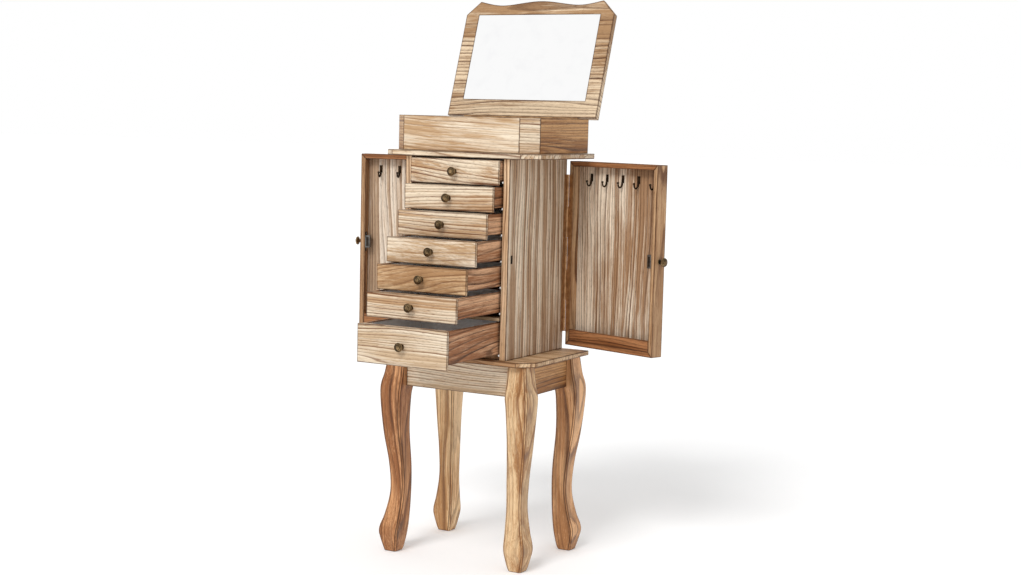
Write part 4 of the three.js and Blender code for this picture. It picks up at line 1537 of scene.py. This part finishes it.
@dataclass
class TopTray:
    """The lined tray under the lid."""

    body: str = "cabinet"
    chamfer: float = 33 * MM
    roll_count: int = 5
    roll_r: float = 8 * MM

    def build(self) -> None:
        """Builds the walls, the lining and the ring rolls."""
        wood_copy("tray_left", WARM, Sawing(BACK, -RIGHT, Figure.RIFT, shift=0.2), self.body, "light_wood")
        # tray_right takes the gold wood, with painted shade on the side away from the key light.
        wood_copy("tray_right", GOLD_PAINTED_SHADE, Sawing(BACK, RIGHT, Figure.STRAIGHT, skew=1.0, shift=2.6), self.body,
                  "light_wood")
        wood_copy("tray_rear", WARM, Sawing(RIGHT, BACK, Figure.STRAIGHT, shift=2.9), self.body, "light_wood")
        self.front()
        self.insert()
        self.rolls()

    def front(self) -> None:
        """Builds the front wall and its two canted corners, parted at the bends."""
        lo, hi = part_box("tray_front")
        name = "tray_front_wood"
        stock = Stock(name)
        bend = hi.x - self.chamfer, lo.x + self.chamfer
        slope = math.cos(math.radians(45))
        cant_r, cant_l = Vector((slope, -slope, 0)), Vector((-slope, -slope, 0))
        mid = (lo + hi) / 2
        parts = (
            ("wall", SOFT, Sawing(RIGHT, -BACK, Figure.RIFT, skew=-3.5, shift=1.2), Vector((mid.x, lo.y, mid.z))),
            ("cant_right", PALE, Sawing(Vector((slope, slope, 0)), cant_r, Figure.STRAIGHT, shift=0.5),
             Vector((hi.x - self.chamfer / 2, lo.y + self.chamfer / 2, mid.z))),
            ("cant_left", WARM, Sawing(Vector((slope, -slope, 0)), cant_l, Figure.STRAIGHT, shift=0.9),
             Vector((lo.x + self.chamfer / 2, lo.y + self.chamfer / 2, mid.z))),
        )
        tilt = math.radians(22.5)
        planes = {
            "wall": [(Vector((bend[0], lo.y, 0)), Vector((math.cos(tilt), math.sin(tilt), 0))),
                     (Vector((bend[1], lo.y, 0)), Vector((-math.cos(tilt), math.sin(tilt), 0)))],
            "cant_right": [(Vector((bend[0], lo.y, 0)), Vector((-math.cos(tilt), -math.sin(tilt), 0)))],
            "cant_left": [(Vector((bend[1], lo.y, 0)), Vector((math.cos(tilt), -math.sin(tilt), 0)))],
        }
        for label, finish, sawing, spot in parts:
            stock.start(finish.material(f"{name}_{label}", spot, sawing))
            bm = stock.bm
            bm.from_mesh(frame["nodes"]["tray_front"].data)
            bmesh.ops.remove_doubles(bm, verts=stock.verts(), dist=WELD)
            for point, normal in planes[label]:
                geom = [*stock.verts(), *stock.faces(), *stock.edges()]
                cut = bmesh.ops.bisect_plane(bm, geom=geom, dist=WELD, plane_co=point - normal * 0.03 * MM,
                                             plane_no=normal, clear_outer=True)["geom_cut"]
                bmesh.ops.holes_fill(bm, edges=[e for e in cut if isinstance(e, BMEdge)], sides=0)
            bmesh.ops.dissolve_limit(bm, angle_limit=FLAT, verts=stock.verts(),
                                     edges=stock.edges())
            stock.ease(0.5 * MM)
            stock.scorch(2.8 * MM)
            stock.close()
        stock.finish(self.body, "light_wood", ["tray_front"])

    def insert(self) -> None:
        """Builds the flocked insert, with rims eased less than would fold them over its thin walls."""
        stock = Stock("tray_lining")
        stock.copied("tray_insert", FELT.material(), ease=0.6 * MM, reach=0.0)
        stock.finish(self.body, "felt", ["tray_insert"])

    def rolls(self) -> None:
        """Builds the stuffed ring rolls side by side."""
        lo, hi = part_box("ring_rolls")
        stock = Stock("ring_rolls_soft")
        velvet = VELVET.material()
        length = hi.x - lo.x
        sink = 0.4 * MM
        for k in range(self.roll_count):
            y = lo.y + (2 * k + 1) * (hi.y - lo.y) / (2 * self.roll_count)
            stock.start(velvet)
            bm = stock.bm
            low = Vector((lo.x, y - self.roll_r + 0.1 * MM, lo.z))
            high = Vector((hi.x, y + self.roll_r - 0.1 * MM, hi.z))
            place = Matrix.Translation((low + high) / 2) @ Matrix.Diagonal((*(high - low), 1.0))
            bmesh.ops.create_cube(bm, size=1.0, matrix=place)
            bmesh.ops.bevel(bm, geom=stock.edges(), offset=6.4 * MM,
                            offset_type="OFFSET", affect="EDGES", segments=6, profile=0.5, material=-1,
                            clamp_overlap=True)
            long = [e for e in stock.edges() if abs(e.verts[0].co.x - e.verts[1].co.x) > 0.5 * length]
            bmesh.ops.subdivide_edges(bm, edges=long, cuts=24, use_grid_fill=True)
            for vert in stock.verts():
                along = (vert.co.x - lo.x) / length
                swell = 0.5 * MM * math.sin(9.0 * math.pi * along + 1.7 * k) + sink * math.sin(math.pi * along)
                if vert.co.z > lo.z + 12 * MM:
                    vert.co.z += swell - 0.9 * MM
            stock.close()
        piece = stock.finish(self.body, "roll_velvet", ["ring_rolls"], smooth=60)


@dataclass
class Lid:
    """The wavy lid with its mirror, standing open."""

    body: str = "lid"

    def __post_init__(self) -> None:
        """Finds the lid's hinge."""
        self.swing = joint_swing("lid_hinge", "X", -1)

    def build(self) -> None:
        """Builds the board and the mirror and dresses the hinge."""
        stock = Stock("lid_board_wood")
        centre = middle("lid_board")
        sawing = Sawing(RIGHT, -UP, Figure.RIFT, skew=0.8, shift=0.7).turned(self.swing.turn)
        stock.copied("lid_board", LID.material(stock.name, centre, sawing), self.swing, reach=3.6 * MM)
        stock.finish(self.body, "light_wood", ["lid_board"], self.swing)
        glass = Stock("lid_mirror_glass")
        glass.copied("lid_mirror", GLASS.material(), self.swing, ease=0.8 * MM, reach=0.0)
        glass.finish(self.body, "mirror", ["lid_mirror"], self.swing)
        brass = HINGE.material()
        for node in ("lid_hinge_leaf", "lid_hinge_fixed"):
            dress(node, brass)


# ---------------------------------------------------------------- studio


@dataclass
class Studio:
    """White floor, soft light and the camera."""

    floor_size: float = 80.0
    ambient: float = 0.70
    key_strength: float = 1.7
    key_softness: float = 24.0
    key_height: float = 42.0
    key_side: float = 0.0
    fill_power: float = 5.0
    stand_off: Vector = field(default_factory=lambda: Vector((1902.08, -3310.10, 990.96)) * MM)
    yaw: float = 28.99
    pitch: float = 6.65
    roll: float = 1.42
    lens: float = 59.74
    shift_y: float = 0.0269

    def build(self) -> None:
        """Builds the set."""
        self.floor()
        self.world()
        aim = Vector((0, 0, 0.7))
        self.key()
        self.softbox("fill_light", Vector((3.2, -2.6, 1.6)), aim, self.fill_power, 2.0)
        self.camera()

    def floor(self) -> None:
        """Lays the floor."""
        bm = bmesh.new()
        bmesh.ops.create_grid(bm, x_segments=2, y_segments=2, size=self.floor_size / 2,
                              matrix=Matrix.Translation((0, 0, -0.0005)))
        mesh = bpy.data.meshes.new("studio_floor")
        bm.to_mesh(mesh)
        bm.free()
        material, g, shader, place = begin_material("floor_paint")
        tone = g.ramp(g.noise(place, 1.5, 3.0), 0.3, 0.7)
        g.fill(shader, Base_Color=g.mix(tone, (0.93, 0.93, 0.93), (0.91, 0.91, 0.91)), Roughness=0.9,
               Specular_IOR_Level=0.1, Emission_Color=(1.0, 1.0, 1.0), Emission_Strength=0.13)
        mesh.materials.append(material)
        floor = bpy.data.objects.new("studio_floor", mesh)
        bpy.context.scene.collection.objects.link(floor)

    def world(self) -> None:
        """Sets an even white surround that is brighter to the eye than as a light."""
        world = bpy.data.worlds.new("studio_white")
        world.use_nodes = True
        g = Graph(world.node_tree)
        path = g.add("LightPath")
        seen = g.maths("MAXIMUM", path.outputs["Is Camera Ray"], path.outputs["Is Glossy Ray"])
        strength = g.maths("ADD", self.ambient, g.maths("MULTIPLY", seen, 1.0 - self.ambient))
        shade = g.fill(g.add("Background"), Color=(1.0, 1.0, 1.0), Strength=strength)
        g.feed(g.add("OutputWorld").inputs["Surface"], shade.outputs[0])
        bpy.context.scene.world = world

    def key(self) -> None:
        """Lights the set evenly from the front and above."""
        light = bpy.data.lights.new("key_light", "SUN")
        light.energy, light.angle = self.key_strength, math.radians(self.key_softness)
        lamp = bpy.data.objects.new("key_light", light)
        tilt = math.radians(90.0 - self.key_height)
        lamp.rotation_euler = (tilt, 0.0, math.radians(-self.key_side))
        lamp.visible_glossy = False
        bpy.context.scene.collection.objects.link(lamp)

    def softbox(self, name: str, place: Vector, aim: Vector, power: float, size: float) -> None:
        """Hangs a square light.

        Args:
            name: The light's name.
            place: Where it hangs.
            aim: What it points at.
            power: Watts.
            size: Side of the square.
        """
        light = bpy.data.lights.new(name, "AREA")
        light.energy, light.size = power, size
        lamp = bpy.data.objects.new(name, light)
        lamp.location = place
        lamp.rotation_euler = (aim - place).to_track_quat("-Z", "Y").to_euler()
        bpy.context.scene.collection.objects.link(lamp)

    def camera(self) -> None:
        """Sets the camera off from the middle of the base board."""
        yaw, pitch, roll = (math.radians(a) for a in (self.yaw, self.pitch, self.roll))
        ahead = Vector((-math.sin(yaw) * math.cos(pitch), math.cos(yaw) * math.cos(pitch), -math.sin(pitch)))
        level = Vector((math.cos(yaw), math.sin(yaw), 0))
        above = level.cross(ahead)
        right = math.cos(roll) * level + math.sin(roll) * above
        up = math.cos(roll) * above - math.sin(roll) * level
        data = bpy.data.cameras.new("camera")
        data.lens, data.sensor_width, data.shift_y = self.lens, 36.0, self.shift_y
        data.dof.use_dof = False
        camera = bpy.data.objects.new("camera", data)
        spot = middle("base_board")
        turn = Matrix((right, up, -ahead)).transposed().to_4x4()
        camera.matrix_world = Matrix.Translation(Vector((spot.x, spot.y, 0)) + self.stand_off) @ turn
        bpy.context.scene.collection.objects.link(camera)
        bpy.context.scene.camera = camera


def main() -> None:
    """Builds every sub-assembly in order."""
    logging.basicConfig(level=logging.INFO, format="%(name)s %(message)s")
    bpy.context.scene.view_settings.view_transform = "Standard"
    across, front = RIGHT, -BACK
    fronts = (
        (PALE, Sawing(across, front, Figure.BROAD, skew=-9.0, shift=0.10)),
        (PALE, Sawing(across, front, Figure.RIFT, skew=2.0, shift=0.93)),
        (PALE, Sawing(across, front, Figure.STRAIGHT, shift=1.71)),
        (SOFT, Sawing(across, front, Figure.BROAD, skew=-3.0, shift=2.42)),
        (HONEY, Sawing(across, front, Figure.BROAD, skew=3.0, shift=3.33)),
        (PALE, Sawing(across, front, Figure.STRAIGHT, shift=4.05)),
        (BLOND, Sawing(across, front, Figure.STRAIGHT, skew=0.5, shift=5.27)),
    )
    Studio().build()
    Stand().build()
    Cabinet().build()
    for number, (finish, sawing) in enumerate(fronts, start=1):
        Drawer(number, finish, sawing).build()
    for side in ("left", "right"):
        SideDoor(side).build()
    TopTray().build()
    Lid().build()


if __name__ == "__main__":
    main()
